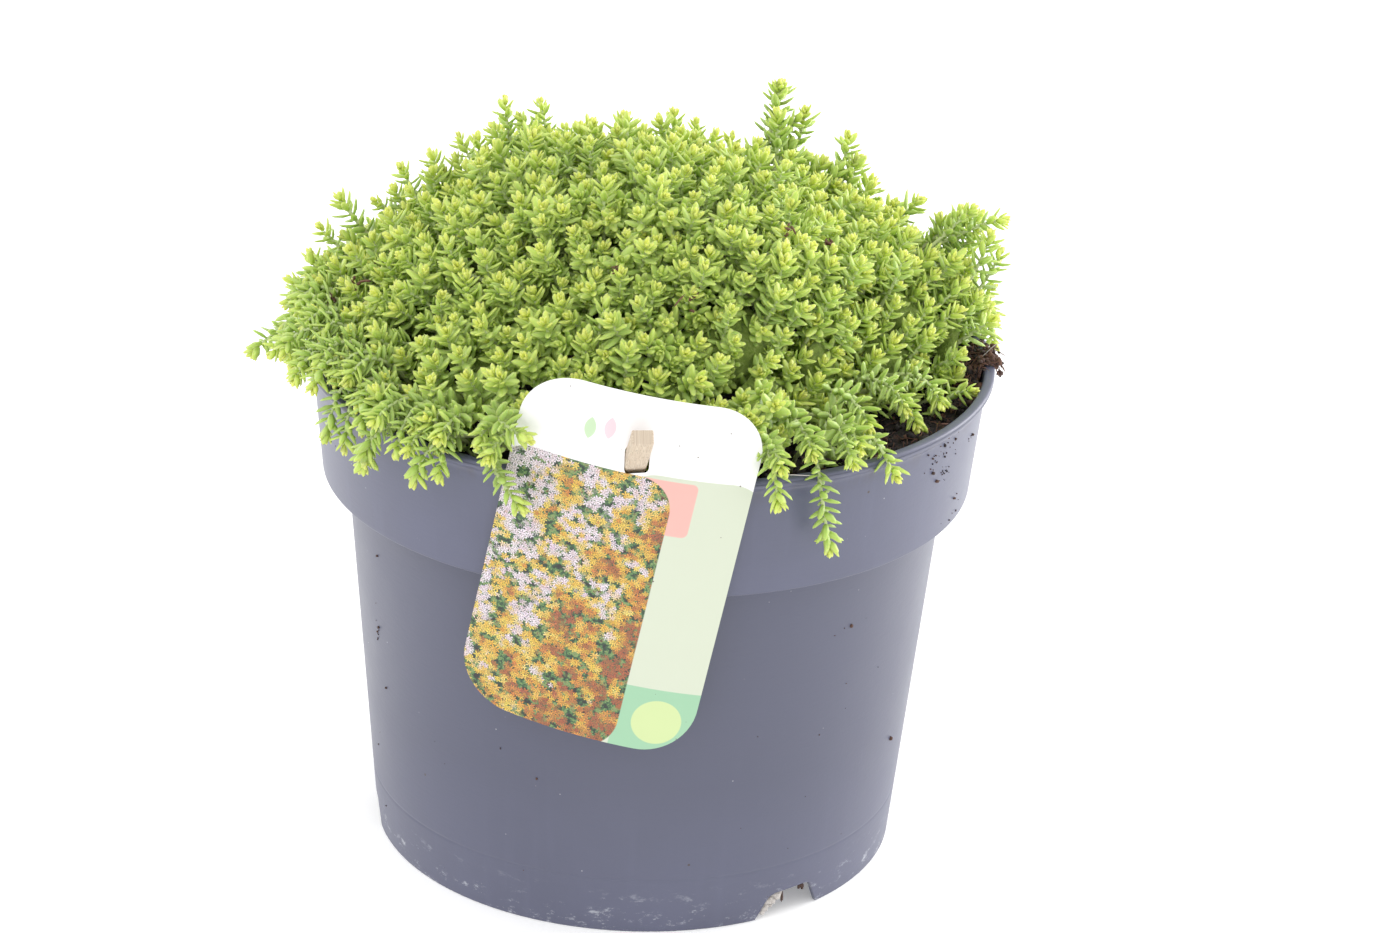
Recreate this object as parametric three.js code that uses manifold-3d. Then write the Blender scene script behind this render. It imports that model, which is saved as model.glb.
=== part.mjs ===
// Goldmoss stonecrop in a deep-rimmed nursery pot, with a bent plastic label hung on a wooden stick.
// Millimetres, +Z up. The origin is the centre of the pot's foot, on the ground; the label faces -Y.
// Azimuths are degrees about Z, from -Y towards +X.

import * as THREE from "three";
import { ConvexHull } from "three/addons/math/ConvexHull.js";
import { mergeVertices } from "three/addons/utils/BufferGeometryUtils.js";
import Module from "manifold-3d";

const wasm = await Module();
wasm.setup();

// Pot: outer sizes, wall and the deep rim band
const POT_HEIGHT = 172.4;
const RIM_RADIUS = 115;
const RIM_INNER_RADIUS = 111.5;
const LIP_DEPTH = 2.2;
const BAND_TOP_RADIUS = 112.5;
const BAND_BOTTOM_RADIUS = 109;
const BAND_HEIGHT = 41.5;
const BODY_TOP_RADIUS = 100.7;
const BASE_RADIUS = 89.1;
const WALL = 1.8;
const FLOOR_THICKNESS = 2;
const FLOOR_RAISE = 12;
const FOOT_DISC_RADIUS = 45;
const FOOT_DISC_SLOPE = 4;
const AROUND = 36;

// Drainage: notches in the base skirt, round holes in the raised floor
const NOTCH_COUNT = 3;
const NOTCH_FIRST_AZIMUTH = 37.5;
const NOTCH_BOTTOM_WIDTH = 27;
const NOTCH_TOP_WIDTH = 17;
const NOTCH_HEIGHT = 9.5;
const NOTCH_CUT_DEPTH = 12;
const DRAIN_COUNT = 6;
const DRAIN_RADIUS = 4.5;
const DRAIN_CIRCLE_RADIUS = 68;
const DRAIN_SIDES = 8;

// Soil, with a heap of crumbs against the rim on the right
const SOIL_LEVEL = 160;
const SOIL_ROLL = 1.4;
const SOIL_ROLL_X = 0.11;
const SOIL_ROLL_Y = 0.09;
const HEAP_AZIMUTH = 93;
const HEAP_SPREAD = 10;
const HEAP_HEIGHT = 14;
const HEAP_FULL_RADIUS = 108;
const SOIL_RINGS = [100, 80, 45];

// Clearances
const SEAT_GAP = 0.3;
const SOIL_GAP_IN = 0.36;
const SOIL_GAP_UP = 0.2;
const CELL_GAP = 0.22;
const SIDEWAYS_BEND = 2.5;
const FOLIAGE_CLEARANCE = 0.6;
const HOLDER_CLEARANCE = 0.5;
const MESH_TOLERANCE = 0.05;

// Foliage: a dome about one centre on the axis, split into bunches by the planes between their directions
const DOME_CENTRE = new THREE.Vector3(0, 0, 110);
const DOME_RADIUS = 136;
const SKIRT_ANGLE = 65;
const RECESS_SKIRT_ANGLE = 52;
const LABEL_SKIRT_ANGLE = 56;
const LABEL_BACK_RADIUS = 107;
const LABEL_BACK_GAP = 5.5;
const LABEL_SIDE_ANGLE = 22;
const STICK_SIDE_ANGLE = 15;
const OUTER_TILT = 45;
const NEIGHBOUR_ANGLE = 60;
const RECESS_DEPTH = 34;
const RECESS_AZIMUTH = 50;
const RECESS_ANGLES = [11.5, 46];
const LABEL_HOLD_ANGLES = [17, 27];
const BUNCH_ROWS = [
  { tilt: 0, count: 1 },
  { tilt: 18.5, count: 6 },
  { tilt: 36.5, count: 11 },
  { tilt: 54.5, count: 16 },
];
const BUNCH_JITTER = 2.5;
const SHOOT_SPREAD = 0.62;
const CAP_FILL = 0.98;
const GAP_SPREAD = 0.47;
const LIFT_SPREAD = 3;
const CLOSEST_PLACES = 0.008;
const CORNER_SAMPLES = 60;
const OVER_RIM_ANGLE = 60.2;
const CANOPY_DEPTH = 17;
const ROSETTE_POINTS = 5;
const LEAF_TIP_RADIUS = 8;
const LEAF_TIP_DEPTH = 3;
const HOLLOW_RADIUS = 3.6;
const HOLLOW_DEPTH = 11;
const SKIRT_SHOOTS = 3;
const SKIRT_SPACING = 7.6;
const SKIRT_JITTER = 1.6;
const SKIRT_LEAF = 7;
const CORE_FLOOR = 166;
const CORE_FOOT_RADIUS = 4;
const RIM_PLANE_SLOPE = 0.95;
const ROOT_RADIUS = 2.1;
const ROOT_DEPTH = 9;
const ROOT_SETBACK = 6;
const GROUND_RADIUS = 98;
const STICK_SETBACK = 8;
const LEAVES_AROUND = 4;
const LEAF_RING_SPACING = 5.6;
const BARE_STEM_LENGTH = 13;
const STEM_RADIUS = 1.3;
const SEED = 1234;

// Swells and dips of the dome: azimuth, angle from the top, height, angular spread
const DOME_SWELLS = [
  { azimuth: 219, tilt: 28, height: 8, spread: 12 },
  { azimuth: 190, tilt: 24, height: -8, spread: 7 },
  { azimuth: 168, tilt: 24, height: 4, spread: 7 },
  { azimuth: 148, tilt: 27, height: -9, spread: 6 },
  { azimuth: 128, tilt: 34, height: 6, spread: 8 },
  { azimuth: 112, tilt: 42, height: -7, spread: 7 },
  { azimuth: 104, tilt: 52, height: 10, spread: 8 },
  { azimuth: 262, tilt: 62, height: 5, spread: 9 },
  { azimuth: 330, tilt: 30, height: -5, spread: 10 },
  { azimuth: 20, tilt: 25, height: 5, spread: 12 },
];

// Long shoots that leave the dome: each grows from the heart of the bunch nearest to its first point
const LONG_SHOOTS = [
  // Upright, above the dome's right shoulder
  { size: 5.6, path: [[36, 43, 230], [39, 45, 252]] },
  { size: 5.4, path: [[45, 43, 226], [48, 45, 243]] },
  { size: 5.4, path: [[60, 40, 220], [63, 40, 236]] },
  // Outwards, to the left and to the right
  { size: 5.4, path: [[-115, -1, 178], [-133, 0, 164]] },
  { size: 5.2, path: [[104, 20, 213], [116, 20, 216]] },
  // Over the rim, left of the label and then right of it
  { size: 5.4, path: [[-80, -88, 182], [-88, -85, 161]] },
  { size: 5.6, path: [[-62, -104, 184], [-71, -98, 163]] },
  { size: 5, path: [[-49, -108, 192], [-35, -118, 187]] },
  { size: 5, path: [[-51, -111, 183], [-36, -117, 163]] },
  { size: 5.2, path: [[37, -105, 190], [43, -117, 168]] },
];

// Stems that root by themselves in the bare soil on the right and trail towards or over the rim
const TRAILING_STEMS = [
  { size: 5.6, path: [[47, -73, 152], [47, -73, 164], [53, -99, 185], [56, -107, 170], [60, -104, 148]] },
  { size: 5, path: [[66, -62, 152], [66, -62, 164], [72, -84, 180], [80, -90, 168]] },
  { size: 5, path: [[57, -68, 152], [57, -68, 164], [61, -90, 185], [66, -101, 176]] },
  { size: 4.6, path: [[94, -20, 152], [94, -20, 163], [101, -23, 171], [107, -24, 172]] },
];

// Label: a rounded plastic card, bent round the rim and hung on the stick
const LABEL_WIDTH = 76;
const LABEL_HEIGHT = 125;
const LABEL_CORNER = 17;
const LABEL_THICKNESS = 0.9;
const LABEL_INNER_RADIUS = RIM_RADIUS + 0.6;
const LABEL_CENTRE = [-8.6, 142];
const LABEL_TURN = -9.5;
const LABEL_LEAN = 5.5;
const LABEL_HOLE_RADIUS = 5.1;
const LABEL_HOLE_SIDES = 12;
const LABEL_AROUND = 56;
const CORNER_STEPS = 4;

// Stick: a square-cut wooden lath that leans out over the rim
const STICK_WIDTH = 7.5;
const STICK_HEIGHT = 5.5;
const STICK_ANGLE = 42;
const STICK_SWAY = 7;
const STICK_THROUGH = [-1.5, -116.2, 181.4];
const STICK_OUTSIDE = 21;
const STICK_INSIDE = 68;

function finish(color, roughness) {
  return new THREE.MeshStandardMaterial({ color, roughness, metalness: 0, flatShading: true });
}

const MATERIALS = {
  pot: finish(0x767889, 0.55),
  soil: finish(0x2d211b, 0.95),
  foliage: finish(0x93b04c, 0.5),
  label: finish(0xf4f5f2, 0.3),
  wood: finish(0xc9ae86, 0.7),
};

const radians = THREE.MathUtils.degToRad;

// A small seeded generator, so every build draws the same plant
function randomSource(seed) {
  let state = seed >>> 0;
  return () => {
    state = (state + 0x6d2b79f5) >>> 0;
    let mixed = Math.imul(state ^ (state >>> 15), state | 1);
    mixed = (mixed + Math.imul(mixed ^ (mixed >>> 7), mixed | 61)) ^ mixed;
    return ((mixed ^ (mixed >>> 14)) >>> 0) / 4294967296;
  };
}

function smoothstep(low, high, value) {
  const t = Math.min(1, Math.max(0, (value - low) / (high - low)));
  return t * t * (3 - 2 * t);
}

// The smallest turn between two azimuths, in degrees
function azimuthDifference(first, second) {
  return Math.abs(((first - second + 540) % 360) - 180);
}

function azimuthOf(x, y) {
  return (THREE.MathUtils.radToDeg(Math.atan2(x, -y)) + 360) % 360;
}

// Solids

function solidFromTriangles(points, triangles) {
  const vertProperties = new Float32Array(points.flatMap((point) => [point.x, point.y, point.z]));
  const triVerts = new Uint32Array(triangles);
  return new wasm.Manifold(new wasm.Mesh({ numProp: 3, vertProperties, triVerts }));
}

// A closed three.js geometry as a solid: corners merged, slivers on the axis dropped, faces turned outwards
function solidFromGeometry(geometry) {
  const bare = geometry.clone();
  for (const name of Object.keys(bare.attributes)) {
    if (name !== "position") bare.deleteAttribute(name);
  }
  const merged = mergeVertices(bare, 1e-3);
  const position = merged.getAttribute("position");
  const points = [];
  for (let i = 0; i < position.count; i++) points.push(new THREE.Vector3().fromBufferAttribute(position, i));
  const triangles = [];
  let volume = 0;
  for (let i = 0; i < merged.index.count; i += 3) {
    const [a, b, c] = [0, 1, 2].map((step) => merged.index.getX(i + step));
    if (a === b || b === c || a === c) continue;
    triangles.push(a, b, c);
    volume += points[a].dot(new THREE.Vector3().crossVectors(points[b], points[c]));
  }
  if (volume < 0) triangles.reverse();
  return solidFromTriangles(points, triangles);
}

function geometryFromSolid(solid) {
  const mesh = largestPiece(solid.asOriginal().simplify(MESH_TOLERANCE)).getMesh();
  const geometry = new THREE.BufferGeometry();
  const position = new Float32Array(mesh.numVert * 3);
  for (let i = 0; i < mesh.numVert; i++) {
    const start = mesh.numProp * i;
    position.set(mesh.vertProperties.subarray(start, start + 3), 3 * i);
  }
  geometry.setAttribute("position", new THREE.BufferAttribute(position, 3));
  geometry.setIndex(new THREE.BufferAttribute(new Uint32Array(mesh.triVerts), 1));
  geometry.computeVertexNormals();
  return geometry;
}

// The biggest connected body, without the scraps that a cut leaves
function largestPiece(solid) {
  const pieces = solid.decompose();
  return pieces.reduce((best, piece) => (piece.volume() > best.volume() ? piece : best));
}

// A turned shape from its profile of radius and height
function latheGeometry(profile, segments) {
  const geometry = new THREE.LatheGeometry(profile.map(([r, z]) => new THREE.Vector2(r, z)), segments);
  geometry.rotateX(Math.PI / 2);
  return geometry;
}

function prismGeometry(radius, length, sides) {
  const geometry = new THREE.CylinderGeometry(radius, radius, length, sides);
  geometry.rotateX(Math.PI / 2);
  return geometry;
}

// Pot

function potOuterRadius(z) {
  const bandBottom = POT_HEIGHT - BAND_HEIGHT;
  if (z > POT_HEIGHT - LIP_DEPTH) return RIM_RADIUS;
  if (z > bandBottom) {
    return THREE.MathUtils.mapLinear(z, bandBottom, POT_HEIGHT, BAND_BOTTOM_RADIUS, BAND_TOP_RADIUS);
  }
  return THREE.MathUtils.mapLinear(z, 0, bandBottom, BASE_RADIUS, BODY_TOP_RADIUS);
}

function makePot() {
  const bandBottom = POT_HEIGHT - BAND_HEIGHT;
  const channelOuter = potOuterRadius(FLOOR_RAISE) - WALL;
  let pot = solidFromGeometry(latheGeometry([
    [0, 0],
    [FOOT_DISC_RADIUS, 0],
    [FOOT_DISC_RADIUS + FOOT_DISC_SLOPE, FLOOR_RAISE],
    [channelOuter, FLOOR_RAISE],
    [BASE_RADIUS - WALL, 0],
    [BASE_RADIUS, 0],
    [BODY_TOP_RADIUS, bandBottom],
    [BAND_BOTTOM_RADIUS, bandBottom],
    [BAND_TOP_RADIUS, POT_HEIGHT - LIP_DEPTH * 2],
    [RIM_RADIUS, POT_HEIGHT - LIP_DEPTH],
    [RIM_RADIUS, POT_HEIGHT],
    [RIM_INNER_RADIUS, POT_HEIGHT],
    [BAND_BOTTOM_RADIUS - WALL, bandBottom + WALL],
    [BODY_TOP_RADIUS - WALL, bandBottom - WALL],
    [channelOuter, FLOOR_RAISE + FLOOR_THICKNESS],
    [FOOT_DISC_RADIUS + FOOT_DISC_SLOPE, FLOOR_RAISE + FLOOR_THICKNESS],
    [FOOT_DISC_RADIUS, FLOOR_THICKNESS],
    [0, FLOOR_THICKNESS],
  ], AROUND));
  for (let i = 0; i < NOTCH_COUNT; i++) {
    pot = pot.subtract(makeNotch(NOTCH_FIRST_AZIMUTH + (i * 360) / NOTCH_COUNT));
  }
  for (let i = 0; i < DRAIN_COUNT; i++) {
    const hole = prismGeometry(DRAIN_RADIUS, FLOOR_THICKNESS * 3, DRAIN_SIDES);
    const turn = (i * 2 * Math.PI) / DRAIN_COUNT;
    hole.translate(DRAIN_CIRCLE_RADIUS * Math.cos(turn), DRAIN_CIRCLE_RADIUS * Math.sin(turn), FLOOR_RAISE);
    pot = pot.subtract(solidFromGeometry(hole));
  }
  return pot;
}

// A slant-sided block that cuts one drainage notch through the base skirt
function makeNotch(azimuth) {
  const below = 1;
  const spread = (NOTCH_BOTTOM_WIDTH - NOTCH_TOP_WIDTH) / 2 / NOTCH_HEIGHT;
  const outline = new THREE.Shape([
    new THREE.Vector2(-NOTCH_BOTTOM_WIDTH / 2 - spread * below, -below),
    new THREE.Vector2(NOTCH_BOTTOM_WIDTH / 2 + spread * below, -below),
    new THREE.Vector2(NOTCH_TOP_WIDTH / 2, NOTCH_HEIGHT),
    new THREE.Vector2(-NOTCH_TOP_WIDTH / 2, NOTCH_HEIGHT),
  ]);
  const block = new THREE.ExtrudeGeometry(outline, { depth: NOTCH_CUT_DEPTH, bevelEnabled: false });
  block.rotateX(Math.PI / 2);
  block.translate(0, -BASE_RADIUS + NOTCH_CUT_DEPTH / 2, 0);
  block.rotateZ(radians(azimuth));
  return solidFromGeometry(block);
}

// Soil

function soilHeight(x, y) {
  const radius = Math.hypot(x, y);
  const roll = SOIL_ROLL * Math.sin(x * SOIL_ROLL_X + 1) * Math.cos(y * SOIL_ROLL_Y);
  const turn = azimuthDifference(azimuthOf(x, y), HEAP_AZIMUTH) / HEAP_SPREAD;
  const heap = HEAP_HEIGHT * Math.exp(-turn * turn) * smoothstep(SOIL_RINGS[0], HEAP_FULL_RADIUS, radius);
  return SOIL_LEVEL + roll + heap;
}

// The soil fills the pot, a little clear of it, with a plain hole for each root and for the stick
function makeSoil(rootPlaces, stick) {
  const bandBottom = POT_HEIGHT - BAND_HEIGHT;
  const bandFoot = BAND_BOTTOM_RADIUS - WALL;
  const wallAtSoil = THREE.MathUtils.mapLinear(
    SOIL_LEVEL, bandBottom + WALL, POT_HEIGHT, bandFoot, RIM_INNER_RADIUS,
  );
  const floor = FLOOR_THICKNESS + SEAT_GAP;
  const geometry = latheGeometry([
    [0, floor],
    [FOOT_DISC_RADIUS - SOIL_GAP_IN, floor],
    [FOOT_DISC_RADIUS + FOOT_DISC_SLOPE - SOIL_GAP_IN, FLOOR_RAISE + floor],
    [potOuterRadius(FLOOR_RAISE) - WALL - SOIL_GAP_IN, FLOOR_RAISE + floor],
    [BODY_TOP_RADIUS - WALL - SOIL_GAP_IN, bandBottom - WALL + SOIL_GAP_UP],
    [bandFoot - SOIL_GAP_IN, bandBottom + WALL + SOIL_GAP_UP],
    [wallAtSoil - SOIL_GAP_IN, SOIL_LEVEL],
    ...SOIL_RINGS.map((radius) => [radius, SOIL_LEVEL]),
    [0, SOIL_LEVEL],
  ], AROUND);
  const position = geometry.getAttribute("position");
  for (let i = 0; i < position.count; i++) {
    if (position.getZ(i) > SOIL_LEVEL - 1) position.setZ(i, soilHeight(position.getX(i), position.getY(i)));
  }
  let soil = solidFromGeometry(geometry);
  for (const place of rootPlaces) {
    const depth = 3 * ROOT_DEPTH;
    const hole = prismGeometry(ROOT_RADIUS + SEAT_GAP * 2, depth, LEAVES_AROUND);
    hole.translate(place.x, place.y, SOIL_LEVEL - ROOT_DEPTH - SEAT_GAP + depth / 2);
    soil = soil.subtract(solidFromGeometry(hole));
  }
  return largestPiece(soil.subtract(stick));
}

// Label and stick

// Leans a shape outwards about the rim's front edge
function leanOverRim(geometry) {
  geometry.translate(0, RIM_RADIUS, -POT_HEIGHT);
  geometry.rotateX(radians(LABEL_LEAN));
  geometry.translate(0, -RIM_RADIUS, POT_HEIGHT);
  return geometry;
}

function roundedCard(width, height, corner) {
  const [w, h] = [width / 2, height / 2];
  const card = new THREE.Shape();
  card.absarc(w - corner, h - corner, corner, 0, Math.PI / 2);
  card.absarc(-w + corner, h - corner, corner, Math.PI / 2, Math.PI);
  card.absarc(-w + corner, -h + corner, corner, Math.PI, Math.PI * 1.5);
  card.absarc(w - corner, -h + corner, corner, Math.PI * 1.5, Math.PI * 2);
  return card;
}

// The card's outline, pushed through a thin bent sheet that follows the rim
function makeLabel(grow) {
  const inner = LABEL_INNER_RADIUS - grow;
  const outer = LABEL_INNER_RADIUS + LABEL_THICKNESS + grow;
  const reach = LABEL_HEIGHT;
  const sheet = latheGeometry([
    [inner, LABEL_CENTRE[1] - reach],
    [outer, LABEL_CENTRE[1] - reach],
    [outer, LABEL_CENTRE[1] + reach],
    [inner, LABEL_CENTRE[1] + reach],
    [inner, LABEL_CENTRE[1] - reach],
  ], LABEL_AROUND);
  const outline = roundedCard(LABEL_WIDTH + 2 * grow, LABEL_HEIGHT + 2 * grow, LABEL_CORNER);
  const options = { depth: RIM_RADIUS, bevelEnabled: false, curveSegments: CORNER_STEPS };
  const card = new THREE.ExtrudeGeometry(outline, options);
  card.rotateZ(radians(LABEL_TURN));
  card.rotateX(Math.PI / 2);
  card.translate(LABEL_CENTRE[0], -RIM_RADIUS / 2, LABEL_CENTRE[1]);
  return solidFromGeometry(leanOverRim(sheet)).intersect(solidFromGeometry(leanOverRim(card)));
}

function placeAlongStick(geometry) {
  geometry.rotateX(radians(-STICK_ANGLE));
  geometry.rotateZ(radians(STICK_SWAY));
  geometry.translate(...STICK_THROUGH);
  return geometry;
}

// The lath, laid along -Y before it is tilted up and swung a little to the right
function makeStick(grow) {
  const length = STICK_OUTSIDE + STICK_INSIDE + grow;
  const lath = new THREE.BoxGeometry(STICK_WIDTH + 2 * grow, length, STICK_HEIGHT + 2 * grow);
  lath.translate(0, (STICK_INSIDE - STICK_OUTSIDE) / 2, 0);
  return solidFromGeometry(placeAlongStick(lath));
}

function makeLabelHole() {
  const length = 4 * STICK_WIDTH;
  const hole = new THREE.CylinderGeometry(LABEL_HOLE_RADIUS, LABEL_HOLE_RADIUS, length, LABEL_HOLE_SIDES);
  return solidFromGeometry(placeAlongStick(hole));
}

// Foliage

// How far the bare soil on the right pushes the dome's edge back, from 0 to 1
function recessAt(azimuth) {
  return 1 - smoothstep(...RECESS_ANGLES, azimuthDifference(azimuth, RECESS_AZIMUTH));
}

// How far the label holds the dome's edge back, from 0 to 1
function labelHoldsAt(azimuth) {
  return 1 - smoothstep(...LABEL_HOLD_ANGLES, azimuthDifference(azimuth, 0));
}

function skirtAngle(azimuth) {
  const free = THREE.MathUtils.lerp(SKIRT_ANGLE, RECESS_SKIRT_ANGLE, recessAt(azimuth));
  return THREE.MathUtils.lerp(free, Math.min(free, LABEL_SKIRT_ANGLE), labelHoldsAt(azimuth));
}

function tiltOf(direction) {
  return THREE.MathUtils.radToDeg(Math.acos(Math.min(1, direction.z)));
}

function directionAt(azimuth, tilt) {
  const [a, t] = [radians(azimuth), radians(tilt)];
  return new THREE.Vector3(Math.sin(t) * Math.sin(a), -Math.sin(t) * Math.cos(a), Math.cos(t));
}

// The dome's radius from its centre in one direction, out to the leaf tips
function domeRadius(direction) {
  const azimuth = azimuthOf(direction.x, direction.y);
  const tilt = tiltOf(direction);
  let radius = DOME_RADIUS;
  for (const swell of DOME_SWELLS) {
    const turn = THREE.MathUtils.radToDeg(direction.angleTo(directionAt(swell.azimuth, swell.tilt)));
    radius += swell.height * Math.exp(-0.5 * (turn / swell.spread) ** 2);
  }
  radius -= RECESS_DEPTH * recessAt(azimuth) * smoothstep(0.6, 1.02, tilt / skirtAngle(azimuth));
  const behindLabel = Math.min(radius, LABEL_BACK_RADIUS / Math.sin(Math.max(radians(tilt), 0.1)));
  return THREE.MathUtils.lerp(radius, behindLabel, labelHoldsAt(azimuth));
}

// Bunch directions in rows round the dome, drawn in where its edge is drawn in
function bunchDirections(random) {
  const jitter = () => BUNCH_JITTER * (2 * random() - 1);
  return BUNCH_ROWS.flatMap(({ tilt, count }, row) => Array.from({ length: count }, (_, i) => {
    const azimuth = ((i + row * 0.37) * 360) / count + (row ? jitter() : 0);
    const drawnIn = ((tilt + jitter()) * skirtAngle(azimuth)) / SKIRT_ANGLE;
    return directionAt(azimuth, Math.abs(drawnIn));
  }));
}

// The planes that part one bunch from its neighbours, and its outermost ones from the label
function cellPlanes(directions, index) {
  const planes = [];
  directions.forEach((other, i) => {
    if (i === index || other.angleTo(directions[index]) > radians(NEIGHBOUR_ANGLE)) return;
    planes.push({ normal: other.clone().sub(directions[index]).normalize(), reach: -CELL_GAP });
  });
  const outwards = new THREE.Vector3(directions[index].x, directions[index].y, 0).normalize();
  const labelAzimuth = azimuthOf(LABEL_CENTRE[0], -RIM_RADIUS);
  const toLabel = azimuthDifference(azimuthOf(outwards.x, outwards.y), labelAzimuth);
  if (tiltOf(directions[index]) > OUTER_TILT && toLabel < LABEL_SIDE_ANGLE) {
    planes.push({ normal: outwards, reach: LABEL_INNER_RADIUS - LABEL_BACK_GAP });
  }
  if (isOverStick(directions[index])) planes.push(rimPlane(directions[index]));
  return planes;
}

// The bunch in front, which grows up behind the stick and over it
function isOverStick(direction) {
  const toStick = azimuthDifference(azimuthOf(direction.x, direction.y), 0);
  return tiltOf(direction) > OUTER_TILT && toStick < STICK_SIDE_ANGLE;
}

// The plane that keeps a bunch's body above and inside the rim
function rimPlane(direction) {
  const outwards = new THREE.Vector3(direction.x, direction.y, 0).normalize();
  const normal = outwards.multiplyScalar(RIM_PLANE_SLOPE).add(new THREE.Vector3(0, 0, -1)).normalize();
  const radius = isOverStick(direction) ? GROUND_RADIUS - STICK_SETBACK : GROUND_RADIUS;
  const onPlane = new THREE.Vector3(direction.x, direction.y, 0).setLength(radius);
  onPlane.z = CORE_FLOOR - DOME_CENTRE.z;
  return { normal, reach: normal.dot(onPlane) };
}

function isInside(local, planes) {
  return planes.every(({ normal, reach }) => local.dot(normal) <= reach);
}

// The widest turn from a bunch's middle, towards one side, that stays in its cell
function widestTurn(direction, side, planes, radiusAt) {
  let [low, high] = [0, radians(30)];
  for (let step = 0; step < 18; step++) {
    const middle = (low + high) / 2;
    const towards = turnedTowards(direction, side, middle);
    const azimuth = azimuthOf(towards.x, towards.y);
    const aboveSkirt = towards.z > Math.cos(radians(Math.min(skirtAngle(azimuth), OVER_RIM_ANGLE)));
    if (aboveSkirt && isInside(towards.clone().multiplyScalar(radiusAt(towards)), planes)) low = middle;
    else high = middle;
  }
  return low;
}

function turnedTowards(direction, side, turn) {
  return direction.clone().multiplyScalar(Math.cos(turn)).addScaledVector(side, Math.sin(turn));
}

function sideVectors(direction, count, twist) {
  const helper = Math.abs(direction.z) > 0.9 ? new THREE.Vector3(1, 0, 0) : new THREE.Vector3(0, 0, 1);
  const first = new THREE.Vector3().crossVectors(helper, direction).normalize();
  const second = new THREE.Vector3().crossVectors(direction, first);
  return Array.from({ length: count }, (_, i) => {
    const turn = twist + (i * 2 * Math.PI) / count;
    return first.clone().multiplyScalar(Math.cos(turn)).addScaledVector(second, Math.sin(turn));
  });
}

// Where a bunch's stems meet the soil
function rootPlace(direction) {
  const rise = CORE_FLOOR - DOME_CENTRE.z;
  const setback = isOverStick(direction) ? 3 * STICK_SETBACK : ROOT_SETBACK;
  const spread = Math.min(rise * Math.tan(radians(tiltOf(direction))), GROUND_RADIUS - setback);
  const outwards = new THREE.Vector3(direction.x, direction.y, 0).normalize();
  return outwards.multiplyScalar(spread).setZ(CORE_FLOOR);
}

// One closed leafy stem. Each ring holds leaf tips and the hollows between them, turned half a step from the
// ring below, so that every leaf is a four-sided point. The foot rings are a plain stem.
function leafyStem(root, footRings, leafRings, apex, settle) {
  const around = LEAVES_AROUND * 2;
  const points = [];
  const triangles = [];
  const addPoint = (point, centre) => points.push(settle(point, centre)) - 1;
  const onRing = (ring, step, radius, lift) => {
    const side = ring.sides[step % around];
    return ring.at.clone().addScaledVector(side, radius).addScaledVector(ring.along, lift);
  };
  const feet = footRings.map((ring) => {
    const corners = Array.from({ length: LEAVES_AROUND }, (_, i) => i * 2);
    return corners.map((step) => addPoint(onRing(ring, step, ring.radius, 0), ring.at));
  });
  const start = addPoint(root, root);
  for (let i = 0; i < LEAVES_AROUND; i++) triangles.push(start, feet[0][(i + 1) % LEAVES_AROUND], feet[0][i]);
  for (let level = 0; level + 1 < feet.length; level++) {
    for (let i = 0; i < LEAVES_AROUND; i++) {
      const next = (i + 1) % LEAVES_AROUND;
      const [a, b, c, d] = [feet[level][i], feet[level][next], feet[level + 1][i], feet[level + 1][next]];
      triangles.push(a, b, c, b, d, c);
    }
  }
  const rings = leafRings.map((ring, level) => Array.from({ length: around }, (_, step) => {
    const isTip = (step + level) % 2 === 0;
    const corner = isTip ? onRing(ring, step, ring.leaf, ring.lift) : onRing(ring, step, ring.radius, 0);
    return addPoint(corner, ring.at);
  }));
  const top = feet[feet.length - 1];
  for (let i = 0; i < LEAVES_AROUND; i++) {
    const [foot, nextFoot] = [top[i], top[(i + 1) % LEAVES_AROUND]];
    const [tip, hollow] = rings[0].slice(2 * i, 2 * i + 2);
    const before = rings[0][(2 * i + around - 1) % around];
    triangles.push(foot, hollow, tip, foot, tip, before, foot, nextFoot, hollow);
  }
  for (let level = 0; level + 1 < rings.length; level++) {
    for (let step = 0; step < around; step++) {
      const next = (step + 1) % around;
      const [lower, upper] = [rings[level], rings[level + 1]];
      const [a, b, c, d] = [lower[step], lower[next], upper[step], upper[next]];
      if ((step + level) % 2 === 0) triangles.push(a, b, c, b, d, c);
      else triangles.push(a, b, d, a, d, c);
    }
  }
  const last = rings[rings.length - 1];
  const point = addPoint(apex);
  for (let step = 0; step < around; step++) triangles.push(last[step], last[(step + 1) % around], point);
  return solidFromTriangles(points, triangles);
}

// A short shoot that arches over the rim and opens in two rings of leaves
function skirtShoot(root, tip, twist, settle) {
  const bend = new THREE.Vector3(tip.x, tip.y, 0).setLength(RIM_INNER_RADIUS - 5).setZ(POT_HEIGHT + 10);
  const along = tip.clone().sub(bend).normalize();
  const sides = sideVectors(along, LEAVES_AROUND * 2, twist);
  const ringBelowTip = (depth, radius, leaf, lift) => (
    { at: tip.clone().addScaledVector(along, -depth), along, sides, radius, leaf, lift }
  );
  const feet = [{ at: bend, along, sides, radius: 1.6 }, ringBelowTip(14, 1.9, 0, 0)];
  const leaves = [ringBelowTip(9.7, 2.6, SKIRT_LEAF, 3.4), ringBelowTip(5.1, 2.4, SKIRT_LEAF * 0.66, 4.4)];
  return leafyStem(root, feet, leaves, tip, settle);
}

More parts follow.
